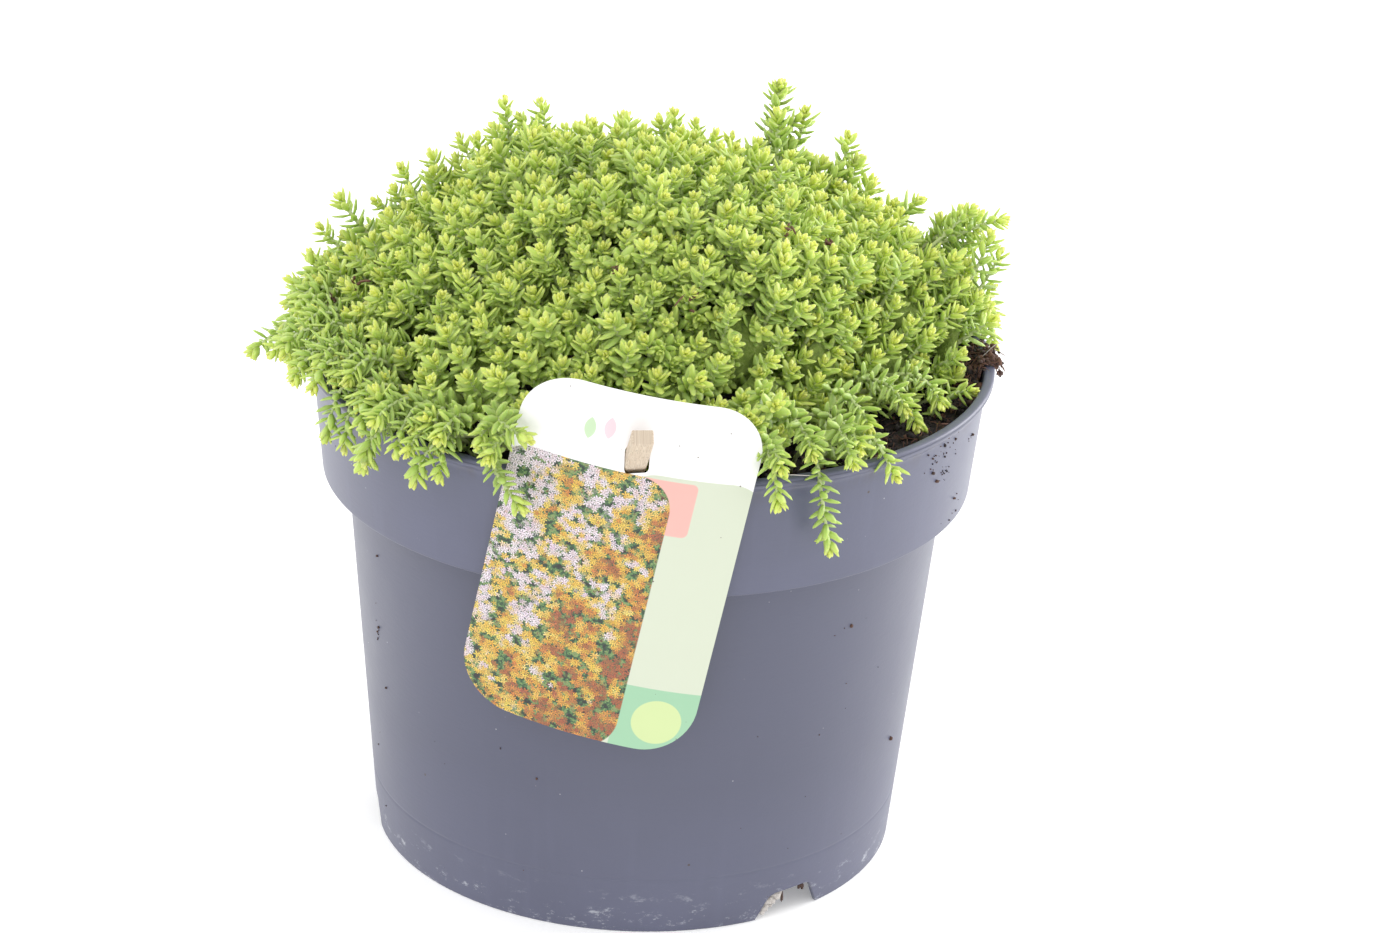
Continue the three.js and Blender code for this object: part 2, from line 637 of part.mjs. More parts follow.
// A long shoot along a smooth curve, with a ring of leaves every few millimetres
function longShoot(path, size, settle) {
  const curve = new THREE.CatmullRomCurve3(path.map((point) => new THREE.Vector3(...point)));
  const length = curve.getLength();
  const count = Math.round((length - BARE_STEM_LENGTH) / LEAF_RING_SPACING);
  const spacing = (length - BARE_STEM_LENGTH) / (count + 0.4);
  const ringAt = (distance, radius, leaf, lift) => {
    const along = curve.getTangentAt(Math.min(1, distance / length));
    return { at: curve.getPointAt(Math.min(1, distance / length)), along, radius, leaf, lift };
  };
  const feet = [0.1, 0.5, 1].map((part) => ringAt(BARE_STEM_LENGTH * part, STEM_RADIUS));
  const leaves = Array.from({ length: count }, (_, i) => {
    const taper = i === count - 1 ? 0.75 : 1;
    return ringAt(BARE_STEM_LENGTH + spacing * (i + 0.4), 1.7, size * taper, 2.6);
  });
  let side = sideVectors(feet[0].along, 1, 0.4)[0];
  for (const ring of [...feet, ...leaves]) {
    side = side.clone().addScaledVector(ring.along, -side.dot(ring.along)).normalize();
    const second = new THREE.Vector3().crossVectors(ring.along, side);
    ring.sides = Array.from({ length: LEAVES_AROUND * 2 }, (_, i) => {
      const turn = (i * Math.PI) / LEAVES_AROUND;
      return side.clone().multiplyScalar(Math.cos(turn)).addScaledVector(second, Math.sin(turn));
    });
  }
  return leafyStem(curve.getPoint(0), feet, leaves, curve.getPoint(1), settle);
}

// A leaf point that meets the pot is lifted over its rim, or pushed out from its wall
function clearOfPot(point) {
  const radius = Math.hypot(point.x, point.y);
  const wall = potOuterRadius(point.z) + FOLIAGE_CLEARANCE;
  const overRim = POT_HEIGHT + FOLIAGE_CLEARANCE;
  if (point.z > overRim || radius < RIM_INNER_RADIUS - 2 || radius > wall) return point;
  if (point.z > overRim - 5 || radius < RIM_INNER_RADIUS) return point.setZ(overRim);
  point.x *= wall / radius;
  point.y *= wall / radius;
  return point;
}

// A leaf point that would cross into the next bunch is drawn in towards its stem, then bent to its own side
function settleInCell(planes) {
  return (point, centre = point) => {
    const local = point.sub(DOME_CENTRE);
    const middle = centre.clone().sub(centre === point ? new THREE.Vector3() : DOME_CENTRE);
    for (const { normal, reach } of planes) {
      const [over, room] = [local.dot(normal) - reach, reach - middle.dot(normal)];
      if (over > SIDEWAYS_BEND && room > 0) local.lerp(middle, (over - SIDEWAYS_BEND) / (over + room));
    }
    for (let pass = 0; pass < 3; pass++) {
      for (const { normal, reach } of planes) {
        const over = local.dot(normal) - reach;
        if (over > 0) local.addScaledVector(normal, -over - 0.01);
      }
    }
    return local.add(DOME_CENTRE);
  };
}

// The angles about a bunch's direction at which its cell reaches furthest
function cellCorners(direction, limits, shell) {
  const sides = sideVectors(direction, CORNER_SAMPLES, 0);
  const reaches = sides.map((side) => widestTurn(direction, side, limits, shell));
  const corners = [];
  for (let i = 0; i < CORNER_SAMPLES; i++) {
    const isPeak = reaches[i] > reaches.at(i - 1) && reaches[i] >= reaches[(i + 1) % CORNER_SAMPLES];
    if (isPeak) corners.push((i * 2 * Math.PI) / CORNER_SAMPLES);
  }
  return corners;
}

// A bunch seen from outside: rosettes of leaf points, with hollows in them and dark gaps between them. Each
// place is a direction from the dome's centre and a radius, so no two places can hide one another.
function bunchPlaces(direction, planes, random) {
  const shell = (towards) => domeRadius(towards) - CANOPY_DEPTH;
  const [first, second] = sideVectors(direction, 4, 0);
  const sideAt = (angle) => turnedTowards(first, second, angle);
  const widestAt = (angle) => widestTurn(direction, sideAt(angle), planes, shell) * CAP_FILL;
  const places = [];
  const place = (turn, angle, depth) => {
    const towards = turnedTowards(direction, sideAt(angle), Math.min(turn, widestAt(angle)));
    places.push({ towards, radius: domeRadius(towards) - depth });
  };
  const spokes = cellCorners(direction, planes, shell);
  const centres = [new THREE.Vector2(0, 0)];
  spokes.forEach((spoke, i) => {
    const reach = widestAt(spoke) * (SHOOT_SPREAD + 0.06 * (random() - 0.5));
    centres.push(new THREE.Vector2(reach * Math.cos(spoke), reach * Math.sin(spoke)));
    const toNext = (i + 1 < spokes.length ? spokes[i + 1] : spokes[0] + 2 * Math.PI) - spoke;
    for (const part of [0, 0.3, 0.7]) place(1, spoke + part * toNext, CANOPY_DEPTH);
    const between = spoke + toNext / 2;
    place(widestAt(between) * GAP_SPREAD, between, CANOPY_DEPTH);
  });
  for (const centre of centres) {
    const [lift, turn] = [LIFT_SPREAD * (random() - 0.5), random() * 2 * Math.PI];
    place(centre.length(), centre.angle(), -lift);
    for (let step = 0; step < 2 * ROSETTE_POINTS; step++) {
      const isLeaf = step % 2 === 0;
      const reach = (isLeaf ? LEAF_TIP_RADIUS : HOLLOW_RADIUS) / DOME_RADIUS;
      const angle = turn + (step * Math.PI) / ROSETTE_POINTS;
      const spot = new THREE.Vector2(reach * Math.cos(angle), reach * Math.sin(angle)).add(centre);
      place(spot.length(), spot.angle(), (isLeaf ? LEAF_TIP_DEPTH : HOLLOW_DEPTH) - lift);
    }
  }
  return places;
}

// The bunch as one body: its places joined as on a sphere, then drawn in and out, over a foot by the soil
function bunchBody(direction, planes, places) {
  const settle = settleInCell([...planes, rimPlane(direction)]);
  const corners = [];
  const sphere = [];
  for (const { towards, radius } of places) {
    if (sphere.some((point) => point.distanceTo(towards) < CLOSEST_PLACES)) continue;
    sphere.push(towards.clone());
    corners.push(towards.clone().multiplyScalar(radius).add(DOME_CENTRE));
  }
  for (const [x, y] of [[1, 0], [0, 1], [-1, 0], [0, -1]]) {
    const corner = new THREE.Vector3(x, y, 0).multiplyScalar(CORE_FOOT_RADIUS);
    const foot = settle(corner.add(rootPlace(direction)));
    corners.push(foot);
    sphere.push(foot.clone().sub(DOME_CENTRE).divideScalar(DOME_RADIUS));
  }
  const triangles = [];
  for (const face of new ConvexHull().setFromPoints(sphere).faces) {
    let edge = face.edge;
    do {
      triangles.push(sphere.indexOf(edge.head().point));
      edge = edge.next;
    } while (edge !== face.edge);
  }
  return { body: solidFromTriangles(corners, triangles), corners };
}

// The middle of a bunch's body, where its long shoots spring from
function bunchHeart(corners) {
  return corners.reduce((sum, corner) => sum.add(corner), new THREE.Vector3()).divideScalar(corners.length);
}

// The lowest shoots of an outer bunch, side by side along the dome's edge
function skirtDirections(direction, random) {
  const azimuth = azimuthOf(direction.x, direction.y);
  const isFree = labelHoldsAt(azimuth) === 0 && recessAt(azimuth) < 0.2;
  if (tiltOf(direction) < OUTER_TILT || !isFree) return [];
  return Array.from({ length: SKIRT_SHOOTS }, (_, i) => {
    const turned = azimuth + (i - (SKIRT_SHOOTS - 1) / 2) * SKIRT_SPACING;
    return directionAt(turned, skirtAngle(turned) + SKIRT_JITTER * (2 * random() - 1));
  });
}

function makeBunch(directions, index, random) {
  const direction = directions[index];
  const planes = cellPlanes(directions, index);
  const intoCell = settleInCell(planes);
  const settle = (point, centre) => clearOfPot(intoCell(point, centre));
  const places = bunchPlaces(direction, planes, random);
  const { body, corners } = bunchBody(direction, planes, places);
  const heart = bunchHeart(corners);
  let bunch = body;
  for (const towards of skirtDirections(direction, random)) {
    const tip = towards.clone().multiplyScalar(domeRadius(towards)).add(DOME_CENTRE);
    bunch = bunch.add(skirtShoot(heart, tip, random() * Math.PI, settle));
  }
  const root = rootPlace(direction);
  const stemLength = ROOT_DEPTH + CORE_FLOOR - SOIL_LEVEL + ROOT_RADIUS;
  const stem = prismGeometry(ROOT_RADIUS, stemLength, LEAVES_AROUND);
  stem.translate(root.x, root.y, SOIL_LEVEL - ROOT_DEPTH + stemLength / 2);
  return { heart, solid: bunch.add(solidFromGeometry(stem)) };
}

// The bunch whose direction lies nearest to a point
function nearestBunch(directions, point) {
  const towards = point.clone().sub(DOME_CENTRE).normalize();
  return directions.reduce((best, direction, i) => (
    direction.dot(towards) > directions[best].dot(towards) ? i : best
  ), 0);
}

// Cuts a small clearance where a bunch would touch the rim, the label or the stick
function clearOfHolders(bunch, holders) {
  let cleared = bunch;
  for (const holder of holders) {
    if (cleared.intersect(holder).volume() > 0) cleared = cleared.subtract(holder);
  }
  return largestPiece(cleared);
}

function addMesh(group, name, solid, material) {
  const mesh = new THREE.Mesh(geometryFromSolid(solid), material);
  mesh.name = name;
  group.add(mesh);
}

const plant = new THREE.Group();
const random = randomSource(SEED);
const directions = bunchDirections(random);
const stick = makeStick(0);
const label = makeLabel(0).subtract(makeLabelHole());
const rimClearance = solidFromGeometry(latheGeometry([
  [RIM_INNER_RADIUS - WALL, SOIL_LEVEL],
  [RIM_RADIUS + HOLDER_CLEARANCE, SOIL_LEVEL],
  [RIM_RADIUS + HOLDER_CLEARANCE, POT_HEIGHT + HOLDER_CLEARANCE],
  [RIM_INNER_RADIUS - HOLDER_CLEARANCE, POT_HEIGHT + HOLDER_CLEARANCE],
  [RIM_INNER_RADIUS - WALL, SOIL_LEVEL],
], AROUND));
const holders = [rimClearance, makeLabel(HOLDER_CLEARANCE), makeStick(HOLDER_CLEARANCE)];

const bunches = directions.map((_, i) => makeBunch(directions, i, random));
for (const { path, size } of LONG_SHOOTS) {
  const owner = nearestBunch(directions, new THREE.Vector3(...path[0]));
  const { heart, solid } = bunches[owner];
  bunches[owner].solid = solid.add(longShoot([heart.toArray(), ...path], size, clearOfPot));
}
const trailing = TRAILING_STEMS.map(({ path, size }) => longShoot(path, size, clearOfPot));
const rootPlaces = [
  ...directions.map(rootPlace),
  ...TRAILING_STEMS.map(({ path }) => new THREE.Vector3(...path[0])),
];

addMesh(plant, "pot", makePot(), MATERIALS.pot);
addMesh(plant, "soil", makeSoil(rootPlaces, makeStick(SEAT_GAP)), MATERIALS.soil);
addMesh(plant, "label", label, MATERIALS.label);
addMesh(plant, "label_stick", stick, MATERIALS.wood);
bunches.forEach((bunch, i) => {
  const name = `shoot_bunch_${String(i + 1).padStart(2, "0")}`;
  addMesh(plant, name, clearOfHolders(bunch.solid, holders), MATERIALS.foliage);
});
trailing.forEach((stem, i) => {
  addMesh(plant, `trailing_stem_${i + 1}`, clearOfHolders(stem, holders), MATERIALS.foliage);
});

export default plant;
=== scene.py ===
"""A goldmoss stonecrop in a grey plastic nursery pot, with a printed card held on by a wooden stick."""

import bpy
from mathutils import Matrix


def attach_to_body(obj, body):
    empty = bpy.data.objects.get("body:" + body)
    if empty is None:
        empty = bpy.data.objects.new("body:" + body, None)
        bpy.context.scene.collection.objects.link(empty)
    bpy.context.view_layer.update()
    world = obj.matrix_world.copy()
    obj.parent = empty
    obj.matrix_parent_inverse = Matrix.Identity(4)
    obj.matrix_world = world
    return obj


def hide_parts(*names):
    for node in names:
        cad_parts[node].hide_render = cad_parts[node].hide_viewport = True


bl_info = {
    "name": "Potted stonecrop",
    "version": (1, 0, 0),
    "blender": (4, 5, 0),
    "location": "3D View > Sidebar > Stonecrop",
    "description": "Dresses the solid model of a potted stonecrop in fine detail",
    "category": "Add Mesh",
}

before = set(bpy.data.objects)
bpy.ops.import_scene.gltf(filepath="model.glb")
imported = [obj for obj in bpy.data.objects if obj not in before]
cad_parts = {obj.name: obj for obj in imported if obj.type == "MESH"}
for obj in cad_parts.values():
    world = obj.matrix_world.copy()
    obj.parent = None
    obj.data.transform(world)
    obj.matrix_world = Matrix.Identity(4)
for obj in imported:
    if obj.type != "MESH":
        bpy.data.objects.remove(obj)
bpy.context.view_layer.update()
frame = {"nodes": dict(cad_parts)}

import collections
import functools
import math

import bmesh
import bpy
import numpy as np
from bpy.props import FloatProperty, FloatVectorProperty, IntProperty, PointerProperty
from mathutils import Matrix, Vector, noise
from mathutils.bvhtree import BVHTree

MM = 0.001
SEED = 71

# The camera: its place in metres, the ways that its picture's right and top point, and its lens.
CAMERA_PLACE = (0.018166, -1.286254, 0.679511)
CAMERA_RIGHT = (0.99895564, 0.0179427, 0.04202001)
CAMERA_UP = (-0.0456905, 0.39229085, 0.91870576)
CAMERA_LENS = 106.359
PICTURE_GAMMA = 1.12
# Large soft lights: name, place and size in metres, and power as a share of the main light's.
LIGHTS = (
    ("main_light", (-0.9, -1.1, 1.9), 1.6, 1.0),
    ("back_light", (0.8, 1.2, 1.6), 1.6, 0.5),
    ("right_light", (1.35, 0.75, 0.55), 1.1, 2.6),
    ("left_light", (-1.5, 0.9, 0.6), 1.2, 1.0),
)
# The lights face this height on the pot's axis, in metres.
LIT_HEIGHT = 0.15
FLOOR_GLOW = 0.22

# The pot, in millimetres.
POT_HEIGHT = 172.4
RIM_RADIUS = 115
RIM_INNER_RADIUS = 111.5
BAND_TOP_RADIUS = 112.5
BAND_BOTTOM_RADIUS = 109
BAND_BOTTOM = 130.9
BAND_TOP = 168
LIP_BOTTOM = 170.2
BODY_TOP_RADIUS = 100.7
BASE_RADIUS = 89.1
WALL = 1.8
FLOOR_RAISE = 12
FOOT_DISC_RADIUS = 45
FOOT_DISC_THICKNESS = 2
RING_HEIGHT = 20
RING_REACH = 0.8
RING_DEPTH = 0.18
NOTCH_AZIMUTHS = (37.5, 157.5, 277.5)
DRAIN_RADIUS = 68
DRAIN_COUNT = 6
DRAIN_HOLE_RADIUS = 4.5
NOTCH_RADII = (80, 98)
# Heights in metres between which a painted shade or a mark on the plastic sets in, and between which it
# ends.
PAINTED_SHADE_HEIGHTS = ((0.006, 0.055), (0.132, 0.13))
LIP_MARKS = ((0.1625, 0.1675), (0.1705, 0.1695))
FOOT_SCUFFS = (0.017, 0.005)
# The outline of a foot notch: along the wall and up.
NOTCH_OUTLINE = (
    (-16, -1), (-13.6, -1), (-13.2, 0), (-9.7, 6.6), (-8.4, 8.4), (-6, 9.3), (6, 9.7),
    (8.2, 9.1), (9.2, 7.4), (12.6, 0), (13.2, -1), (16, -1), (16, -3), (-16, -3),
)

# The soil, with its outline against the pot as radius and height, from the rim down.
SOIL_LEVEL = 160
HEAP_AZIMUTH = 93
HEAP_RISE = 13
RIM_CRUMBS = 90
HANGING_ROOTS = 12
SOIL_TOP_RADIUS = 109.4
SOIL_SIDE = ((109.2, 156), (106.8, 133.2), (98.4, 129.6), (88, 14.5), (49, 14.5), (44.7, 2.5), (0, 2.5))

# The card and its stick.
CARD_SIZE = (76, 125)
CARD_CORNER = 17
CARD_CENTRE = (-8.6, 142)
CARD_TURN = -10.2
CARD_LEAN = 5.5
CARD_RADIUS = 115.9
STICK_POINT = (-1.5, -116.2, 181.4)
STICK_TURNS = (-42, 7)
STICK_SECTION = (7.5, 5.5)
STICK_OUT = 21
STICK_IN = 68
# The areas of the card's print, in millimetres from its lower left corner: centre, half size and corner.
CARD_FIELD = ((58.0, 42.0), (24.0, 57.0), 13.0)
CARD_STRIP = ((70.0, 8.0), (19.5, 15.0), 1.5)
CARD_ACCENT = ((46.0, 88.0), (13.0, 9.5), 2.0)
CARD_PICTURE = ((24.0, 47.0), (28.0, 50.5), 12.0)
CARD_DISC = ((64.0, 11.0), 8.0)
PRINTED_LEAVES = (((22.0, 110.0), (0.5, 0.68, 0.42, 1)), ((28.0, 111.5), (0.85, 0.6, 0.66, 1)))
PRINTED_LEAF_SPREAD = 3.2
PRINTED_LEAF_RADIUS = 5.0
PRINT_EDGE = 0.12
# A blossom's outline, as shares of its width: the mean radius, and how far petals reach past it.
BLOSSOM_RADIUS = 0.29
PETAL_REACH = 0.23
# The picture's layers of blossoms: width, petals and shift of each.
BLOSSOM_LAYERS = (
    (2.1, 5, (3.1, 7.7, 0)), (2.5, 5, (11.3, 2.9, 0)), (1.6, 6, (5.9, 13.3, 0)), (1.9, 5, (17.7, 21.1, 0)),
)

# The cushion of shoots, round a centre inside the pot and down to an angle from straight up.
DOME_CENTRE = np.array((0.0, 0.0, 110.0))
DOME_LIMIT = 64.0
GOLDEN_TURN = 137.508
LOWEST_FOOT = 158
LOWEST_TIP = 166
# Rays that look for the solid bunches start this far out: from the dome's centre, and from the axis.
OUTSIDE_DOME = 220
OUTSIDE_RIM = 150
# The dark core of a bunch: its share of the solid one, the cover that it leaves, and how far out it goes.
CORE_SHARE = 0.8
CORE_COVER = 11
CORE_RADIUS = 106
# Tips that lie further out than this and lower belong to shoots that hang over the rim.
OVER_RIM_RADIUS = 108.5
OVER_RIM_HEIGHT = 183
# The least room between a new tip and the others: on the sides, deep in the sides and under the top.
SIDE_ROOM = 7.6
DEEP_ROOM = 5.4
UNDER_ROOM = 5.2
# Rows of shoots: start, end and step, in millimetres of height or degrees of azimuth.
SIDE_HEIGHTS = (171.0, 246.0, 6.5)
SIDE_AZIMUTHS = (0.0, 360.0, 4.0)
SKIRT_AZIMUTHS = (-254.0, -31.0, 4.2)
DEEP_SHOOTS = 1100
UNDER_SHARE = 1.7
# No shoot of the top hangs over the rim this near to the heap's azimuth.
HEAP_HALF_WIDTH = 11
# Upright shoots stay inside this radius behind the card, between these azimuths and below its top.
CARD_AZIMUTHS = (-30, 22)
CARD_TOP = 212
CARD_BACK_RADIUS = 108

# Leaves along a shoot, counted down from its tip: gaps and sizes in millimetres, openings in degrees.
FIRST_LEAF = 0.12
LEAF_GAP = 0.2
GAP_GROWTH = 0.043
WIDEST_GAP = 0.88
TIP_OPENING = 18
MORE_OPENING = 48
OPENING_REACH = 2.0
OLD_LEAF_DROOP = 9
TIP_LEAF_LENGTH = 2.5
LENGTH_GROWTH = 1.05
NARROWEST_LEAF = 0.95
WIDTH_GROWTH = 0.29
THICKNESS_SHARE = 0.6
LEAF_CURL = 0.13

# Long shoots that stand out of the cushion: the last two places of each, foot first.
LONG_SHOOTS = (
    ((36, 43, 230), (39, 45, 252)),
    ((45, 43, 226), (48, 45, 243)),
    ((60, 40, 220), (63, 40, 236)),
    ((-115, -1, 178), (-133, 0, 164)),
    ((104, 20, 213), (116, 20, 216)),
    ((-80, -88, 182), (-88, -85, 161)),
    ((-62, -104, 184), (-71, -98, 163)),
    ((-49, -108, 192), (-35, -118, 187)),
    ((-51, -111, 183), (-36, -117, 163)),
    ((37, -105, 190), (43, -117, 168)),
    ((76, -42, 182), (87, -59, 173)),
    ((58, -74, 185), (68, -93, 178)),
    ((72, -46, 187), (83, -63, 180)),
    ((60, -62, 189), (71, -82, 181)),
    ((84, -32, 184), (95, -47, 176)),
    ((44, -84, 190), (53, -106, 181)),
)
# Tips of the shoots that stand highest along the back of the cushion.
CREST_TIPS = (
    (-53, 41, 243), (-48, 40, 238), (-41, 42, 243), (-57, 39, 234), (-68, 37, 231), (-69, 35, 224),
    (-87, 32, 221), (-77, 34, 225), (-89, 30, 214), (-107, 26, 211), (-95, 28, 210), (-113, 22, 202),
    (-105, 23, 199), (-116, 19, 193), (-122, 15, 185), (4, 43, 241), (-29, 41, 237), (-13, 42, 239),
    (67, 38, 229), (88, 33, 217), (79, 33, 215), (102, 31, 215), (95, 31, 212), (108, 29, 214),
    (106, 27, 204), (106, 25, 196), (112, 12, 186), (104, 10, 204), (108, 4, 195), (99, 0, 209),
)
# Places, with a radius, where the cushion dips or stays clear.
DIPS = (
    (26, 44, 247, 9), (26, 40, 232, 11), (55, 40, 236, 7), (117, 25, 206, 9), (-116, 1, 150, 12),
    (-33, 40, 236, 5),
)
# Specks of soil on the pot: azimuth, height, spread both ways and how many.
SPLASHES = (
    (59.5, 163, 2.2, 4.5, 44), (61, 155, 0.8, 1.5, 16), (72, 160, 0.8, 1.2, 8), (80, 165, 1.4, 1.5, 8),
    (55, 169, 7.0, 0.5, 26), (37, 169.3, 4.0, 0.3, 10), (68, 140, 2.5, 4.0, 6), (43, 106, 1.0, 1.5, 3),
    (-63.7, 83, 0.5, 1.6, 14), (20, 60, 30.0, 30.0, 16), (-50, 70, 20.0, 30.0, 12),
    (190, 150, 60.0, 12.0, 40),
)
# Withered bits that show between the leaves.
DEAD_BITS = (
    (-98, -17, 197), (-89, -6, 201), (-106, -10, 188), (-10, -65, 224), (13, -74, 219), (57, -34, 223),
    (43, -43, 231),
)
# Pale flakes in the front notch: along the pot's edge and up.
NOTCH_FLAKES = (
    (-10, 2.4), (-9.4, 3.6), (-8.6, 4.6), (-7.9, 5.6), (-7.4, 6.7), (-6.2, 7.2), (-5.2, 7.8), (-8.8, 6.2),
    (-6.4, 5.6), (-5.0, 6.4), (-7.0, 4.4), (-3.6, 8.0), (-4.4, 7.2),
)
HAIR_RADIUS = 0.11
# Loose pale hairs: at the heap, beside the card and in the crescent.
HAIRS = (
    ((110, -2, 175), (116, -4, 183), (120, -5, 180), (122.5, -6, 171)),
    ((39, -112, 176), (45, -115, 178), (53, -108, 175)),
    ((60, -90, 163), (66, -88, 170), (74, -84, 168), (79, -76, 163)),
)
TRAILING_STEMS = {
    "trailing_stem_1": ((47, -73, 156), (47, -73, 164), (53, -99, 185), (56, -107, 170), (60, -104, 148)),
    "trailing_stem_2": ((66, -62, 156), (66, -62, 164), (72, -84, 180), (80, -90, 168)),
    "trailing_stem_3": ((57, -68, 156), (57, -68, 164), (61, -90, 185), (66, -101, 176)),
    "trailing_stem_4": ((94, -20, 156), (94, -20, 163), (101, -23, 171), (107, -24, 172)),
}


# Shapes


def level_direction(azimuth):
    """The level unit vector at an azimuth in degrees: 0 faces the camera and 90 points right."""
    angle = math.radians(azimuth)
    return np.array((math.sin(angle), -math.cos(angle), 0.0))


def azimuth_of(place):
    """The azimuth of a place, in degrees."""
    return math.degrees(math.atan2(place[0], -place[1]))


def reach_of(place):
    """How far a place is from the pot's axis."""
    return math.hypot(place[0], place[1])


def raised(height):
    """A step straight up."""
    return np.array((0.0, 0.0, height))


def unit(vectors):
    """The vectors along the last axis, at length 1."""
    return vectors / np.maximum(np.linalg.norm(vectors, axis=-1, keepdims=True), 1e-9)


def taken_apart(form):
    """The points of a bmesh, and its faces as lists of point numbers. The bmesh is freed."""
    form.verts.index_update()
    points = np.array([vert.co[:] for vert in form.verts])
    faces = [[vert.index for vert in face.verts] for face in form.faces]
    form.free()
    return points, faces


def ball_template(sides, rings):
    """Points and faces of a ball of radius 1 with its poles on Z."""
    ball = bmesh.new()
    bmesh.ops.create_uvsphere(ball, u_segments=sides, v_segments=rings, radius=1.0)
    return taken_apart(ball)


def crumb_template():
    """Points and faces of a pebble of radius 1 with twenty sides."""
    ball = bmesh.new()
    bmesh.ops.create_icosphere(ball, subdivisions=1, radius=1.0)
    return taken_apart(ball)


class Leaf:
    """A blunt fleshy leaf of length, width and thickness 1, with along running from its foot to its tip."""

    def __init__(self):
        points, self.faces = ball_template(4, 4)
        stations = (-1.0, -0.71, 0.0, 0.71, 1.0)
        self.along = np.interp(points[:, 2], stations, (0.0, 0.06, 0.44, 0.84, 1.0))
        widths = np.interp(points[:, 2], stations, (0.0, 0.58, 1.0, 0.64, 0.0))
        # Of the four corners one is the keel underneath, and the one on top is low.
        angles = np.arctan2(points[:, 1], points[:, 0]) - math.pi / 2
        self.across = np.cos(angles) * widths / 2
        self.thick = np.where(np.sin(angles) > 0, 0.35, 1.0) * np.sin(angles) * widths / 2


class Heap:
    """Gathers many small shapes into one mesh with a tint on each point."""

    def __init__(self):
        self.points = []
        self.tints = []
        self.loops = []
        self.sizes = []
        self.slots = []
        self.count = 0

    def add(self, points, faces, tints, slot=0):
        """Adds shapes of one kind: points is shapes by corners by 3, and tints the same by 4."""
        shapes, corners = points.shape[:2]
        numbers = np.concatenate([np.asarray(face) for face in faces])
        starts = self.count + corners * np.arange(shapes)
        self.loops.append((starts[:, None] + numbers[None, :]).ravel())
        self.sizes.append(np.tile([len(face) for face in faces], shapes))
        self.slots.append(np.full(len(faces) * shapes, slot))
        self.points.append(points.reshape(-1, 3))
        self.tints.append(np.broadcast_to(tints, points.shape[:2] + (4,)).reshape(-1, 4))
        self.count += shapes * corners

    def finished(self, name, materials):
        """The gathered shapes as one smooth object. Places are in millimetres until here."""
        points = np.concatenate(self.points) * MM
        loops = np.concatenate(self.loops)
        sizes = np.concatenate(self.sizes)
        mesh = bpy.data.meshes.new(name)
        mesh.vertices.add(len(points))
        mesh.vertices.foreach_set("co", points.ravel())
        mesh.loops.add(len(loops))
        mesh.loops.foreach_set("vertex_index", loops)
        mesh.polygons.add(len(sizes))
        mesh.polygons.foreach_set("loop_start", np.concatenate(([0], np.cumsum(sizes)[:-1])))
        for material in materials:
            mesh.materials.append(material)
        mesh.polygons.foreach_set("material_index", np.concatenate(self.slots))
        mesh.polygons.foreach_set("use_smooth", np.ones(len(sizes), dtype=bool))
        mesh.update(calc_edges=True)
        tint = mesh.attributes.new("tint", "FLOAT_COLOR", "POINT")
        tint.data.foreach_set("color", np.concatenate(self.tints).ravel())
        return linked(name, mesh)


def linked(name, data):
    """A new object of that mesh, lens or lamp, in the scene."""
    piece = bpy.data.objects.new(name, data)
    bpy.context.scene.collection.objects.link(piece)
    return piece


def smooth_path(places, count, rounds=6):
    """That many points along a soft curve through the places."""
    places = np.asarray(places, dtype=float)
    reach = np.concatenate(([0.0], np.cumsum(np.linalg.norm(np.diff(places, axis=0), axis=1))))
    stops = np.linspace(0.0, reach[-1], count)
    path = np.column_stack([np.interp(stops, reach, places[:, axis]) for axis in range(3)])
    for _ in range(rounds):
        path[1:-1] = path[1:-1] * 0.5 + (path[:-2] + path[2:]) * 0.25
    return path


def bow(foot, bend, tip, count):
    """That many points on the curve from foot to tip that leans towards bend."""
    step = np.linspace(0.0, 1.0, count)[:, None]
    return foot * (1 - step) ** 2 + bend * 2 * step * (1 - step) + tip * step ** 2


def tube(heap, path, radii, tints, sides=4, slot=0):
    """A closed tube along the path, with a radius at each of its points."""
    rings = len(path) - 1
    template, faces = ball_template(sides, rings)
    station = np.rint(np.arccos(np.clip(-template[:, 2], -1, 1)) * rings / math.pi).astype(int)
    around = template[:, :2] / np.maximum(np.linalg.norm(template[:, :2], axis=1, keepdims=True), 1e-6)
    around[(station == 0) | (station == rings)] = 0
    heading = unit(np.gradient(path, axis=0))
    spare = np.array((0.31, 0.17, 0.94)) if abs(heading[:, 2]).mean() < 0.8 else np.array((0.9, 0.4, 0.1))
    side = unit(np.cross(heading, spare))
    other = np.cross(heading, side)
    radii = np.broadcast_to(radii, (len(path),))
    spoke = side[station] * around[:, :1] + other[station] * around[:, 1:]
    points = path[station] + spoke * radii[station, None]
    colours = np.broadcast_to(tints, (len(path), 4))[station]
    heap.add(points[None], faces, colours[None], slot)


def rounded_profile(corners):
    """The corners (radius, height, rounding) of a turned shape, each corner cut to a small arc."""
    result = []
    for index, (radius, height, rounding) in enumerate(corners):
        here = Vector((radius, height))
        if rounding == 0:
            result.append(here)
            continue
        before = Vector(corners[index - 1][:2])
        after = Vector(corners[(index + 1) % len(corners)][:2])
        start = here + (before - here).normalized() * rounding
        end = here + (after - here).normalized() * rounding
        result.append(start + (before - here).normalized() * min(1.0, (before - start).length * 0.3))
        for step in range(5):
            share = step / 4
            result.append(start * (1 - share) ** 2 + here * 2 * share * (1 - share) + end * share ** 2)
        result.append(end + (after - here).normalized() * min(1.0, (after - end).length * 0.3))
    return result


